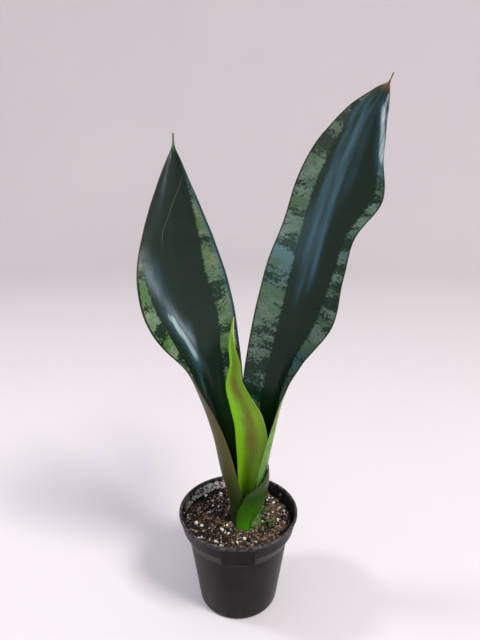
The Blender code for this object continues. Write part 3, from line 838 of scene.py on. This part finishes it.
def crumb_finish(name, roughness, *stops, specular=0.3):
    """Loose bits of the mix, each with its own tint, with a fine grain over it."""
    made = Finish(name, specular)
    tint = made.number("tint")
    grains = made.noise(made.place(), 1400, 3, 0.65)
    colour = made.ramp(made.shifted(tint, grains, 0.45), *stops)
    roughness = made.scale(grains, roughness - 0.1, roughness + 0.1)
    return made.finish(colour, roughness, made.bump(grains, 0.5, 0.25))


def perlite_finish():
    """Porous white granules, stained grey-brown in places."""
    made = Finish("perlite_grain", specular=0.35)
    place = made.place()
    stain = made.noise(place, 520, 4, 0.6)
    pores = made.cells(place, 2400)
    brown, cream, white = (0.30, 0.24, 0.18), (0.66, 0.61, 0.55), (0.84, 0.81, 0.78)
    colour = made.ramp(stain, (0.30, brown), (0.47, cream), (0.66, white))
    colour = made.mix(made.times(made.fall(pores, 0.08, 0.22), 0.5), colour, (0.42, 0.38, 0.33))
    return made.finish(colour, made.scale(stain, 0.80, 0.95), made.bump(pores, 0.6, 0.3))


def seedling_finish():
    """Small soft leaves, paler at their tips."""
    made = Finish("seedling_leaf", specular=0.4, coat=0.1)
    mottle = made.noise(made.place(), 900, 3, 0.6)
    shade = made.shifted(made.number("tint"), mottle, 0.5)
    dark, mid, pale = (0.012, 0.050, 0.005), (0.035, 0.130, 0.010), (0.10, 0.25, 0.025)
    colour = made.ramp(shade, (0.15, dark), (0.55, mid), (0.9, pale))
    return made.finish(colour, made.scale(mottle, 0.35, 0.6), made.bump(mottle, 0.3, 0.2))


def rhizome_finish():
    """Orange-brown skin of the underground stem, ringed with leaf scars."""
    made = Finish("rhizome_bark", specular=0.4)
    place = made.place()
    x, y, z = made.split(place)
    blotch = made.noise(place, 140, 4, 0.6)
    squeezed = made.vector(made.times(x, 30.0), made.times(y, 30.0), made.times(z, 700.0))
    rings = made.noise(squeezed, 1, 2, 0.5)
    dark, orange, pale = (0.20, 0.085, 0.025), (0.50, 0.27, 0.085), (0.66, 0.45, 0.20)
    colour = made.ramp(blotch, (0.30, dark), (0.55, orange), (0.75, pale))
    colour = made.mix(made.times(made.step(rings, 0.55, 0.66), 0.6), colour, (0.16, 0.075, 0.028))
    return made.finish(colour, made.scale(blotch, 0.45, 0.75), made.bump(rings, 0.5, 0.5))


def backdrop_finish():
    """Pale plaster with a hint of pink, for the floor that curves up into the backdrop."""
    made = Finish("backdrop", specular=0.2)
    cloud = made.noise(made.place(), 3.0, 3, 0.5)
    colour = made.mix(cloud, (0.70, 0.655, 0.675), (0.74, 0.70, 0.715))
    return made.finish(colour, made.scale(cloud, 0.8, 0.95))


# ---------------------------------------------------------------------------------------------------------
# Pot

PANEL_STEP = 0.5
WALL_STEP = 1.5
PANEL_REACH = 20.0
PANEL_EDGE = 0.35
PANEL_ANGLE = 0.6
PROFILE_STEP = 0.8
GATE_RADIUS = 0.6
CORNER_POINTS = 5


def rounded_profile(corners):
    """Points of an outline of (radius, height, rounding) corners, each corner replaced by a short curve."""
    points = []
    for i, (radius, height, rounding) in enumerate(corners):
        here = np.array((radius, height), float)
        if rounding == 0 or i in (0, len(corners) - 1):
            points.append(here)
            continue
        before = np.array(corners[i - 1][:2], float) - here
        after = np.array(corners[i + 1][:2], float) - here
        start = here + before / np.linalg.norm(before) * rounding
        end = here + after / np.linalg.norm(after) * rounding
        for t in np.linspace(0, 1, CORNER_POINTS):
            points.append(start * (1 - t) ** 2 + here * 2 * t * (1 - t) + end * t * t)
    return np.array(points)


def subdivided(points, step):
    """The same outline with points no further apart than step."""
    made = [points[0]]
    for low, high in zip(points, points[1:]):
        count = max(1, math.ceil(np.linalg.norm(high - low) / step))
        made += [low + (high - low) * k / count for k in range(1, count + 1)]
    return np.array(made)


def pot_outline():
    """The outer outline, down from the middle of the rim, and the inner one, back up to it."""
    mouth = RIM_RADIUS - LIP_WIDTH
    lip_bottom = RIM_TOP - LIP_HEIGHT
    outer = (
        (mouth + LIP_WIDTH / 2, RIM_TOP, 0),
        (RIM_RADIUS, RIM_TOP, 0.75),
        (RIM_RADIUS, lip_bottom, 0.5),
        (COLLAR_TOP_RADIUS, lip_bottom - 0.6, 0.3),
        (COLLAR_BOTTOM_RADIUS, COLLAR_BOTTOM, 0.8),
        (STEP_RADIUS, STEP_BOTTOM, 1.2),
        (FOOT_RADIUS, 0, FOOT_ROUND),
        (GATE_RADIUS, 0, 0),
    )
    inner = (
        (GATE_RADIUS, FLOOR, 0),
        (FOOT_RADIUS - WALL, FLOOR, 1.5),
        (STEP_RADIUS - WALL, STEP_BOTTOM, 1.0),
        (COLLAR_BOTTOM_RADIUS - WALL, COLLAR_BOTTOM, 0.8),
        (COLLAR_TOP_RADIUS - WALL, lip_bottom - 0.3, 0.3),
        (mouth, RIM_TOP, 0.6),
        (mouth + LIP_WIDTH / 2, RIM_TOP, 0),
    )
    return subdivided(rounded_profile(outer), PROFILE_STEP), subdivided(rounded_profile(inner), PROFILE_STEP)


def pot_angles():
    """Angles round the pot in degrees, closer together where the label panel is."""
    panel = np.arange(-90 - PANEL_REACH, -90 + PANEL_REACH, PANEL_STEP)
    rest = np.arange(-90 + PANEL_REACH, 270 - PANEL_REACH, WALL_STEP)
    return np.radians(np.concatenate([panel, rest]))


def panel_radius(radius, height, angle):
    """The outside radius with the flat label panel standing proud of the collar."""
    from_front = angle + math.pi / 2
    near = np.abs(from_front) < PANEL_ANGLE
    from_front = np.clip(from_front, -PANEL_ANGLE, PANEL_ANGLE)
    across = LABEL_FACE * np.tan(from_front)
    middle = (LABEL_BOTTOM + RIM_TOP) / 2
    out_x = np.abs(across) - (LABEL_WIDTH / 2 - LABEL_CORNER)
    out_z = np.abs(height - middle) - ((RIM_TOP - LABEL_BOTTOM) / 2 - LABEL_CORNER)
    distance = np.hypot(np.maximum(out_x, 0), np.maximum(out_z, 0)) + np.minimum(np.maximum(out_x, out_z), 0)
    distance -= LABEL_CORNER
    cover = 1 - smooth_step(distance, -PANEL_EDGE, PANEL_EDGE)
    upper_edge = 1 - smooth_step(height, RIM_TOP - LIP_HEIGHT - 0.5, RIM_TOP - LIP_HEIGHT)
    flat = LABEL_FACE / np.cos(from_front)
    return np.where(near, radius + np.maximum(flat - radius, 0) * cover * upper_edge, radius)


def make_pot(finish):
    """The pot as one closed shell of rings, with slightly dented walls."""
    outer, inner = pot_outline()
    outline = np.concatenate([inner[:-1], outer])
    inside = np.concatenate([np.ones(len(inner) - 1), np.zeros(len(outer))])
    angles = pot_angles()
    radius, angle = np.meshgrid(outline[:, 0], angles, indexing="ij")
    height = np.repeat(outline[:, 1:2], len(angles), axis=1)
    is_outer = np.repeat(inside[:, None] == 0, len(angles), axis=1)
    radius = np.where(is_outer, panel_radius(radius, height, angle), radius)
    dents = np.abs(0.10 * np.sin(3 * angle + 0.7) + 0.07 * np.sin(5 * angle + height / 17))
    below_rim = 1 - smooth_step(height, RIM_TOP - 5, RIM_TOP - 2)
    radius = radius - dents * smooth_step(height, 8, 40) * below_rim
    points = np.stack([radius * np.cos(angle), radius * np.sin(angle), height], -1).reshape(-1, 3)
    rows, columns = radius.shape
    faces = ring_faces(rows, columns)
    pot = add_piece("nursery_pot", points, faces, finish, ("pot",))
    set_attribute(pot, "pot_inside", np.repeat(inside, columns))
    outward(pot)
    cut_drains(pot)


def cut_drains(pot):
    """Cuts the drainage holes through the pot's floor."""
    cutters = []
    for i in range(DRAIN_COUNT):
        angle = math.tau * (i + 0.5) / DRAIN_COUNT
        bm = bmesh.new()
        wide, narrow = DRAIN_RADIUS * MM, (DRAIN_RADIUS - DRAIN_DRAFT) * MM
        depth = 4 * FLOOR * MM
        bmesh.ops.create_cone(bm, cap_ends=True, segments=48, radius1=wide, radius2=narrow, depth=depth)
        mesh = bpy.data.meshes.new("drain")
        bm.to_mesh(mesh)
        bm.free()
        cutter = bpy.data.objects.new("drain", mesh)
        cutter.location = Vector((math.cos(angle), math.sin(angle), 0)) * DRAIN_CIRCLE * MM
        cutter.location.z = FLOOR / 2 * MM
        bpy.context.scene.collection.objects.link(cutter)
        cutters.append(cutter)
        modifier = pot.modifiers.new("Drain", "BOOLEAN")
        modifier.operation = "DIFFERENCE"
        modifier.solver = "EXACT"
        modifier.object = cutter
    bpy.context.view_layer.update()
    shaped = bpy.data.meshes.new_from_object(pot.evaluated_get(bpy.context.evaluated_depsgraph_get()))
    pot.modifiers.clear()
    pot.data = shaped
    pot.data.shade_smooth()
    pot.data.set_sharp_from_angle(angle=math.radians(50))
    for cutter in cutters:
        bpy.data.objects.remove(cutter, do_unlink=True)


# ---------------------------------------------------------------------------------------------------------
# Potting mix

SOIL_COLUMNS = 220
SOIL_RINGS = 74
SOIL_SIDE_RADIUS = 0.45
SCATTER_TRIES = 6


def soil_level(x, y):
    """Height of the bed's surface: the CAD's slow waves with small lumps on them."""
    slow = 0.7 * (np.sin(0.31 * x + 1.3) * np.cos(0.27 * y - 0.4) + 0.6 * np.sin(0.53 * x - 0.44 * y + 2.1))
    places = np.stack([x, y, 0 * x], -1).reshape(-1, 3)
    lumps = (0.85 * waves(places, 4.2, 2) + 0.35 * waves(places, 1.4, 3)).reshape(np.shape(x))
    return SOIL_TOP + slow * 0.9 + lumps - 0.5


def soil_tone_and_painted_shade(places):
    """How much paler the bits are: random damp patches, darker on the left as a painted shadow of the plant,
    and darker in hollows and paler on crests.
    """
    flat = places * (1, 1, 0)
    # Random damp patches, plus a painted shadow that darkens the left side.
    damp_and_painted_shadow = 0.15 * waves(flat, 13, 8) + 0.17 * np.tanh((places[:, 0] + 5) / 8)
    return damp_and_painted_shadow + 0.16 * (places[:, 2] - SOIL_TOP + 0.4)


def make_soil_bed(finish):
    """The mix as one closed body inside the pot, with a lumpy top."""
    angles = np.linspace(0, math.tau, SOIL_COLUMNS, endpoint=False)
    shares = np.linspace(0.006, 1, SOIL_RINGS)
    radius, angle = np.meshgrid(shares * SOIL_RADIUS, angles, indexing="ij")
    x, y = radius * np.cos(angle), radius * np.sin(angle)
    top = np.stack([x, y, soil_level(x, y)], -1)
    side = [(COLLAR_BOTTOM_RADIUS - WALL - SOIL_SIDE_RADIUS, COLLAR_BOTTOM)]
    side += [(STEP_RADIUS - WALL - SOIL_SIDE_RADIUS, STEP_BOTTOM)]
    side += [(FOOT_RADIUS - WALL - 1.6, SOIL_LOW[2] + 2), (FOOT_RADIUS - WALL - 2.6, SOIL_LOW[2])]
    side += [(r, SOIL_LOW[2]) for r in (22.0, 18.0, 14.0, 8.0, 0.3)]
    rings = [np.stack([r * np.cos(angles), r * np.sin(angles), 0 * angles + z], -1) for r, z in side]
    points = np.concatenate([top.reshape(-1, 3), *rings])
    faces = ring_faces(SOIL_RINGS + len(side), SOIL_COLUMNS)
    bed = add_piece("soil_bed", points, faces, finish, ("potting_mix",))
    outward(bed)


def ball(fineness):
    """The points and triangles of a unit ball."""
    bm = bmesh.new()
    bmesh.ops.create_icosphere(bm, subdivisions=fineness, radius=1.0)
    points = np.array([vert.co for vert in bm.verts])
    faces = np.array([[vert.index for vert in face.verts] for face in bm.faces])
    bm.free()
    return points, faces


def turns(count, random, tilt=math.pi):
    """Random rotation matrices, leaning from upright by at most tilt."""
    spin, lean, final = random.uniform(0, math.tau, (3, count)) * np.array([[1], [tilt / math.tau], [1]])
    cos, sin, zero, one = np.cos, np.sin, np.zeros(count), np.ones(count)

    def about_z(a):
        return np.stack([cos(a), -sin(a), zero, sin(a), cos(a), zero, zero, zero, one], -1).reshape(-1, 3, 3)

    about_x = np.stack([one, zero, zero, zero, cos(lean), -sin(lean), zero, sin(lean), cos(lean)], -1)
    return about_z(final) @ about_x.reshape(-1, 3, 3) @ about_z(spin)


class Ground:
    """The places on the mix where loose bits can lie, clear of the leaves and the pot."""

    def __init__(self):
        graph = bpy.context.evaluated_depsgraph_get()
        leaves = ("leaf_left", "leaf_right", "leaf_young", "sheath_leaf")
        self.trees = [BVHTree.FromObject(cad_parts[name], graph) for name in leaves]

    def clear(self, x, y, level, reach):
        """Whether no leaf is within reach of a place."""
        place = Vector((x, y, level)) * MM
        return all(tree.find_nearest(place, reach * MM)[0] is None for tree in self.trees)

    def scatter(self, sizes, random, clearance=0.5, limit=SOIL_RADIUS - 0.2):
        """Evenly spread places for bits of these sizes, and the sizes of those that found one."""
        places, kept = [], []
        for size in sizes:
            for _ in range(SCATTER_TRIES):
                distance = (limit - size * 0.8) * math.sqrt(random.uniform())
                angle = random.uniform(0, math.tau)
                x, y = distance * math.cos(angle), distance * math.sin(angle)
                if self.clear(x, y, SOIL_TOP + 0.6, size * clearance):
                    places.append((x, y))
                    kept.append(size)
                    break
        places = np.array(places)
        level = soil_level(places[:, 0], places[:, 1])
        return np.column_stack([places, level]), np.array(kept)


def varied_sizes(random, count, middle, spread, least, most):
    """Sizes in millimetres about a middle one, as often half as large as twice."""
    return np.clip(middle * np.exp(spread * random.normal(size=count)), least, most)


def flattened(sizes, random, widths, depths):
    """Scales along, across and through flat bits, their widths and depths as shares of their lengths."""
    count = len(sizes)
    shares = [np.ones(count), random.uniform(*widths, count), random.uniform(*depths, count)]
    return sizes[:, None] * np.column_stack(shares)


def join_bits(name, finish, shape, places, scales, rotations, tints, jitter, random):
    """One mesh of many bits of a shape, each scaled, turned, made irregular and tinted on its own."""
    base, faces = shape
    count, corners = len(places), len(base)
    uneven = 1 + jitter * random.uniform(-1, 1, (count, corners, 1))
    points = base[None] * uneven * scales[:, None]
    points = np.einsum("nij,nkj->nki", rotations, points) + places[:, None]
    all_faces = (faces[None] + np.arange(count)[:, None, None] * corners).reshape(-1, faces.shape[1])
    obj = add_piece(name, points.reshape(-1, 3), all_faces.tolist(), finish, smooth=False)
    set_attribute(obj, "tint", np.repeat(tints, corners))


def make_crumbs(ground, finish):
    """Dark and brown crumbs of peat, in a fine and a coarse size."""
    random = np.random.default_rng(SEED)
    kinds = (("peat_fines", ball(1), 5200, 0.42, 0.40), ("peat_crumbs", ball(2), 900, 0.95, 0.35))
    for name, shape, wanted, middle, spread in kinds:
        sizes = varied_sizes(random, wanted, middle, spread, 0.15, 2.1)
        places, sizes = ground.scatter(sizes, random)
        count = len(sizes)
        scales = sizes[:, None] * random.uniform(0.55, 1.15, (count, 3))
        tints = np.clip(random.normal(0.38, 0.24, count) + soil_tone_and_painted_shade(places), 0, 1)
        places[:, 2] += sizes * random.uniform(-0.1, 0.55, count)
        rotations = turns(count, random)
        join_bits(name, finish, shape, places, scales, rotations, tints, 0.28, random)


def make_chips(ground, finish):
    """Splinters of bark and wood lying flat."""
    random = np.random.default_rng(SEED + 1)
    sizes = varied_sizes(random, 420, 1.15, 0.40, 0.5, 2.6)
    places, sizes = ground.scatter(sizes, random, 0.7, SOIL_RADIUS - 0.8)
    count = len(sizes)
    scales = flattened(sizes, random, (0.22, 0.5), (0.12, 0.28))
    tints = np.clip(random.uniform(0.1, 1.0, count) + soil_tone_and_painted_shade(places), 0, 1)
    places[:, 2] += 0.25 + 0.25 * random.uniform(size=count)
    rotations = turns(count, random, 0.7)
    join_bits("bark_chips", finish, ball(2), places, scales, rotations, tints, 0.20, random)


def make_flakes(ground, finish):
    """Golden vermiculite, in small stacks of plates."""
    random = np.random.default_rng(SEED + 2)
    sizes = varied_sizes(random, 520, 0.62, 0.35, 0.3, 1.3)
    places, sizes = ground.scatter(sizes, random)
    count = len(sizes)
    scales = flattened(sizes, random, (0.6, 1.0), (0.25, 0.55))
    tints = np.clip(random.uniform(0, 1, count) + soil_tone_and_painted_shade(places), 0, 1)
    places[:, 2] += 0.3 + 0.35 * random.uniform(size=count)
    rotations = turns(count, random, 1.2)
    join_bits("vermiculite", finish, ball(1), places, scales, rotations, tints, 0.12, random)


def make_grit(ground, finish):
    """The small perlite that lies among the crumbs, with many fine grains for each large one."""
    random = np.random.default_rng(SEED + 3)
    sizes = np.clip(0.20 * random.uniform(size=760) ** -0.45, 0.2, 0.85)
    places, sizes = ground.scatter(sizes, random)
    count = len(sizes)
    scales = sizes[:, None] * random.uniform(0.5, 1.25, (count, 3))
    places[:, 2] += 0.25 + sizes * random.uniform(0.0, 0.6, count)
    rotations = turns(count, random)
    tints = random.uniform(0, 1, count)
    join_bits("perlite_grit", finish, ball(2), places, scales, rotations, tints, 0.30, random)


def make_fibres(ground, finish):
    """Thin roots and coir strands that wander over the surface."""
    random = np.random.default_rng(SEED + 4)
    joints, sides = 8, 5
    lengths = varied_sizes(random, 520, 4.2, 0.45, 1.6, 11)
    places, lengths = ground.scatter(lengths, random, 0.25, SOIL_RADIUS - 1.0)
    points, faces, tints = [], [], []
    for (x, y, _), length in zip(places, lengths):
        heading, thickness, tint = random.uniform(0, math.tau), random.uniform(0.06, 0.16), random.uniform()
        route = [np.array((x, y))]
        for _ in range(joints - 1):
            heading += random.normal(0, 0.35)
            route.append(route[-1] + length / joints * np.array((math.cos(heading), math.sin(heading))))
        route = np.array(route)
        if np.linalg.norm(route, axis=1).max() > SOIL_RADIUS - 0.3:
            continue
        arch = 0.55 + np.sin(np.linspace(0, math.pi, joints)) * random.uniform(0, 0.8)
        level = soil_level(route[:, 0], route[:, 1]) + arch
        line = np.column_stack([route, level])
        along = np.gradient(line, axis=0)
        along /= np.linalg.norm(along, axis=1, keepdims=True)
        side = np.cross(along, (0, 0, 1.0))
        side /= np.linalg.norm(side, axis=1, keepdims=True)
        above = np.cross(side, along)
        start = len(points) * joints * sides
        turn = np.arange(sides) * math.tau / sides
        thick = thickness * np.linspace(1, 0.5, joints)[:, None, None]
        ring = side[:, None] * np.cos(turn)[None, :, None] + above[:, None] * np.sin(turn)[None, :, None]
        points.append((line[:, None] + ring * thick).reshape(-1, 3))
        faces += [tuple(start + i for i in face) for face in ring_faces(joints, sides)]
        tints += [tint] * (joints * sides)
    obj = add_piece("coir_fibres", np.concatenate(points), faces, finish)
    set_attribute(obj, "tint", tints)


def make_perlite(finish):
    """Each larger granule where the CAD has it, with a broken, pitted shape."""
    random = np.random.default_rng(SEED + 5)
    base, faces = ball(4)
    for i, node in enumerate(PERLITE_NODES):
        low, high = node_box(node)
        coarse = waves(base, 0.85, 10 + i) * 0.55 + waves(base, 0.32, 30 + i) * 0.22
        points = base * (1 + coarse[:, None]) + random.uniform(-0.008, 0.008, base.shape)
        points = (points - points.min(0)) / np.ptp(points, axis=0)
        points = low + points * (high - low)
        add_piece(f"{node}_granule", points, faces.tolist(), finish, (node,))


def make_crust(finish):
    """Grains of mineral scale that stick to the inside of the pot, most of them at the back left."""
    random = np.random.default_rng(SEED + 6)
    count = 420
    angle = np.radians(random.normal(118, 17, count))
    level = SOIL_TOP + 0.8 + random.uniform(0, 1, count) ** 1.4 * (RIM_TOP - SOIL_TOP - 4)
    slope = (COLLAR_TOP_RADIUS - COLLAR_BOTTOM_RADIUS) / (RIM_TOP - LIP_HEIGHT - COLLAR_BOTTOM)
    wall = COLLAR_BOTTOM_RADIUS - WALL + slope * (level - COLLAR_BOTTOM)
    sizes = varied_sizes(random, count, 0.22, 0.4, 0.1, 0.55)
    radius = wall - sizes * 0.25
    places = np.column_stack([radius * np.cos(angle), radius * np.sin(angle), level])
    scales = sizes[:, None] * random.uniform(0.6, 1.2, (count, 3))
    rotations = turns(count, random)
    tints = random.uniform(0, 1, count)
    join_bits("mineral_scale", finish, ball(1), places, scales, rotations, tints, 0.2, random)


# ---------------------------------------------------------------------------------------------------------
# Small growth


# The seedling's leaves follow each other round by nearly the golden angle, in radians.
SEEDLING_LEAVES = 11
SEEDLING_TURN = 2.4

# A torn shred: its angle and distance from the sheath's middle, its height, and the turn of its inner face.
Shred = namedtuple("Shred", "angle distance tall turn")

SHREDS = (
    Shred(-60, 12.4, 5.5, -150),
    Shred(-95, 12.5, 4.0, 175),
    Shred(-20, 12.6, 4.5, -110),
    Shred(-130, 12.9, 3.6, 140),
    Shred(38, 12.7, 5.0, -40),
)

# A shred from foot to tip: shares of its height and of its lean, its halves' widths and cups, and its twist.
SHRED_STATIONS = (
    (0, 0, 2.4, 2.0, 30, 26, 0),
    (0.45, 0.2, 2.0, 1.7, 34, 26, 0),
    (0.8, 0.6, 1.1, 1.2, 34, 30, 5),
    (1, 1, 0.3, 0.35, 30, 30, 9),
)
SHRED_LEAN = 0.28
SHRED_DEPTH = 0.8
SHRED_PATTERN_SHIFT = 9


def make_seedling(finish):
    """A tuft of little cupped leaves on the mix, within the CAD's box."""
    low, high = node_box("seedling")
    centre = (low + high) / 2
    foot = np.array((centre[0], centre[1], low[2]))
    rows, columns = 9, 9
    points, faces, tints = [], [], []
    random = np.random.default_rng(SEED + 7)
    for i in range(SEEDLING_LEAVES):
        angle = i * SEEDLING_TURN
        length = (high[0] - low[0]) / 2 * random.uniform(0.55, 0.98)
        width = random.uniform(0.55, 0.85)
        rise = random.uniform(1.2, high[2] - low[2] - 0.5)
        out = np.array((math.cos(angle), math.sin(angle), 0))
        side = np.array((-out[1], out[0], 0))
        for face in (1, -1):
            for t in np.linspace(0, 1, rows):
                shape = math.sin(math.pi * min(t * 0.93 + 0.05, 1)) ** 0.8
                spine = foot + out * length * t + np.array((0, 0, rise * math.sin(1.9 * t)))
                for u in np.linspace(-1, 1, columns):
                    lift = 0.35 * width * shape * u * u + face * 0.10 * math.sqrt(max(1 - u * u, 0)) * shape
                    points.append(spine + side * width * shape * u + np.array((0, 0, lift)))
                    tints.append(0.25 + 0.6 * t)
        start = i * 2 * rows * columns
        for face in range(2):
            for r in range(rows - 1):
                for c in range(columns - 1):
                    a = start + face * rows * columns + r * columns + c
                    quad = (a, a + 1, a + columns + 1, a + columns)
                    faces.append(quad if face else quad[::-1])
    points = np.array(points)
    points[:, :2] = np.clip(points[:, :2], low[:2], high[:2])
    obj = add_piece("seedling_tuft", points, faces, finish, ("seedling",))
    set_attribute(obj, "tint", tints)
    bm = bmesh.new()
    bm.from_mesh(obj.data)
    bmesh.ops.remove_doubles(bm, verts=bm.verts, dist=0.004 * MM)
    bm.to_mesh(obj.data)
    bm.free()


def make_shreds(finish):
    """Torn papery shreds left by old scale leaves, standing in the mix round the sheath."""
    low, high = node_box("sheath_leaf")
    centre = (low + high) / 2
    for i, shred in enumerate(SHREDS):
        angle = math.radians(shred.angle)
        out = np.array((math.cos(angle), math.sin(angle)))
        foot = centre[:2] + shred.distance * out
        stations = []
        for share, leaning, left, right, cup_left, cup_right, twist in SHRED_STATIONS:
            x, y = foot + out * leaning * SHRED_LEAN * shred.tall
            height = SOIL_TOP - SHRED_DEPTH + share * shred.tall
            stations.append(Station(height, x, y, left, right, cup_left, cup_right, shred.turn + twist))
        loft = loft_leaf(stations, (0.28, 0.2), 0.35, 15)
        faces = ring_faces(*loft.share.shape)
        obj = add_piece(f"paper_shred_{i + 1}", loft.points.reshape(-1, 3), faces, finish)
        across = loft.share * loft.half + SHRED_PATTERN_SHIFT * i
        set_attribute(obj, "leaf_at", np.stack([across, loft.height, loft.face], -1))
        outward(obj)


# ---------------------------------------------------------------------------------------------------------
# Studio

STAGE_FLAT = 1300.0
STAGE_CURVE = 900.0
STAGE_TOP = 2600.0
STAGE_COLUMNS = 160

# The photograph's viewing point, how far it looks down, and its field of view.
CAMERA_PLACE = (1.2, -316.0, 306.0)
CAMERA_DOWN = 16.65
CAMERA_LENS = 29.15

# An area light: where it hangs and what it looks at in millimetres, its width and height in metres, its
# watts and colour. The strips draw the long highlights on the two broad leaves.
Lamp = namedtuple("Lamp", "name place aim size watts colour")

LAMPS = (
    Lamp("key", (1150, -950, 1950), (0, 0, 150), (0.6, 0.6), 43, (1.0, 0.965, 0.93)),
    Lamp("window", (-870, 83, 1050), (0, 0, 250), (0.22, 0.22), 6.0, (0.90, 0.95, 1.0)),
    Lamp("front_strip", (60, -1090, 640), (50, 20, 260), (0.90, 0.05), 2.0, (0.42, 0.74, 1.0)),
    Lamp("side_strip", (880, -560, 375), (-45, 5, 215), (0.08, 0.16), 1.6, (0.88, 0.96, 1.0)),
)

AIR_COLOUR = (0.93, 0.95, 1.0, 1.0)
AIR_STRENGTH = 0.47


def make_stage(finish):
    """A floor that curves up into a backdrop all round."""
    corner = [(STAGE_FLAT + STAGE_CURVE * math.sin(a), STAGE_CURVE * (1 - math.cos(a)))
              for a in np.linspace(0, math.pi / 2, 16)]
    outline = [(1.0, 0.0), (STAGE_FLAT / 2, 0.0), *corner, (STAGE_FLAT + STAGE_CURVE, STAGE_TOP)]
    angles = np.linspace(0, math.tau, STAGE_COLUMNS, endpoint=False)
    points = [(r * math.cos(a) * MM, r * math.sin(a) * MM, z * MM) for r, z in outline for a in angles]
    mesh = bpy.data.meshes.new("stage")
    faces = ring_faces(len(outline), STAGE_COLUMNS, closed_ends=False)
    faces.append(tuple(range(STAGE_COLUMNS)))
    mesh.from_pydata(points, [], faces)
    mesh.materials.append(finish)
    mesh.shade_smooth()
    stage = bpy.data.objects.new("stage", mesh)
    bpy.context.scene.collection.objects.link(stage)


def make_lamps():
    """Area lights that the camera doesn't see."""
    for lamp in LAMPS:
        light = bpy.data.lights.new(lamp.name, "AREA")
        light.shape = "RECTANGLE"
        light.size, light.size_y = lamp.size
        light.energy = lamp.watts
        light.color = lamp.colour
        obj = bpy.data.objects.new(lamp.name, light)
        bpy.context.scene.collection.objects.link(obj)
        place = Vector(lamp.place) * MM
        obj.location = place
        obj.rotation_euler = (Vector(lamp.aim) * MM - place).to_track_quat("-Z", "Y").to_euler()
        obj.visible_camera = False


def make_world():
    """An even, slightly cool light from all round."""
    world = bpy.data.worlds.new("studio_air")
    world.use_nodes = True
    background = world.node_tree.nodes["Background"]
    background.inputs["Color"].default_value = AIR_COLOUR
    background.inputs["Strength"].default_value = AIR_STRENGTH
    bpy.context.scene.world = world


def make_camera():
    """The camera at the photograph's viewing angle."""
    data = bpy.data.cameras.new("camera")
    data.lens = CAMERA_LENS
    data.clip_end = 20.0
    camera = bpy.data.objects.new("camera", data)
    camera.location = Vector(CAMERA_PLACE) * MM
    camera.rotation_euler = (math.radians(90 - CAMERA_DOWN), 0, 0)
    bpy.context.scene.collection.objects.link(camera)
    bpy.context.scene.camera = camera


def make_plant():
    """The leaves, and the dry skins round their base."""
    add_leaf("broad_leaf_left", "leaf_left", LEAF_LEFT, (2.4, 1.4),
             broad_leaf_finish("broad_leaf_left", LOOK_LEFT, scratched=True),
             relief=Relief(0.16, 0.045, 0.55, 120, 1), bands=BANDS_LEFT, bloom=PAINTED_SHEEN_LEFT)
    add_leaf("broad_leaf_right", "leaf_right", LEAF_RIGHT, (2.2, 1.4),
             broad_leaf_finish("broad_leaf_right", LOOK_RIGHT),
             relief=Relief(0.16, 0.045, 0.55, 120, 5), bands=BANDS_RIGHT, bloom=PAINTED_SHEEN_RIGHT)
    add_leaf("rolled_young_leaf", "leaf_young", LEAF_YOUNG, (1.5, 1.0), young_leaf_finish(),
             relief=Relief(0.10, 0.03, 0.25, 110, 9), rise=1.0)
    sheath, papery = sheath_finish(), papery_finish()
    add_leaf("sheath_blade", "sheath_leaf", LEAF_SHEATH, (1.2, 0.8), sheath, rise=0.7)
    add_leaf("old_scale", "dry_scale", DRY_SCALE, (0.6, 0.5), papery, rise=0.4)
    make_shreds(papery)


def make_mix():
    """The bed of the mix and the loose bits on it."""
    perlite = perlite_finish()
    make_soil_bed(peat_finish())
    ground = Ground()
    make_crumbs(ground, crumb_finish("peat_crumb", 0.85, *PEAT_TINTS))
    make_chips(ground, crumb_finish("bark", 0.72, *BARK_TINTS))
    make_flakes(ground, crumb_finish("vermiculite", 0.45, *FLAKE_TINTS, specular=0.6))
    make_fibres(ground, crumb_finish("coir", 0.65, *COIR_TINTS))
    make_grit(ground, perlite)
    make_perlite(perlite)
    make_crust(perlite)


def dress_rhizome():
    """The rhizome keeps its CAD mesh: the mix hides it."""
    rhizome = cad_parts["rhizome"]
    rhizome.data.materials.clear()
    rhizome.data.materials.append(rhizome_finish())


def main():
    bpy.context.scene.view_settings.view_transform = "Standard"
    make_stage(backdrop_finish())
    make_world()
    make_lamps()
    make_camera()
    make_pot(pot_finish())
    make_mix()
    make_plant()
    make_seedling(seedling_finish())
    dress_rhizome()


main()
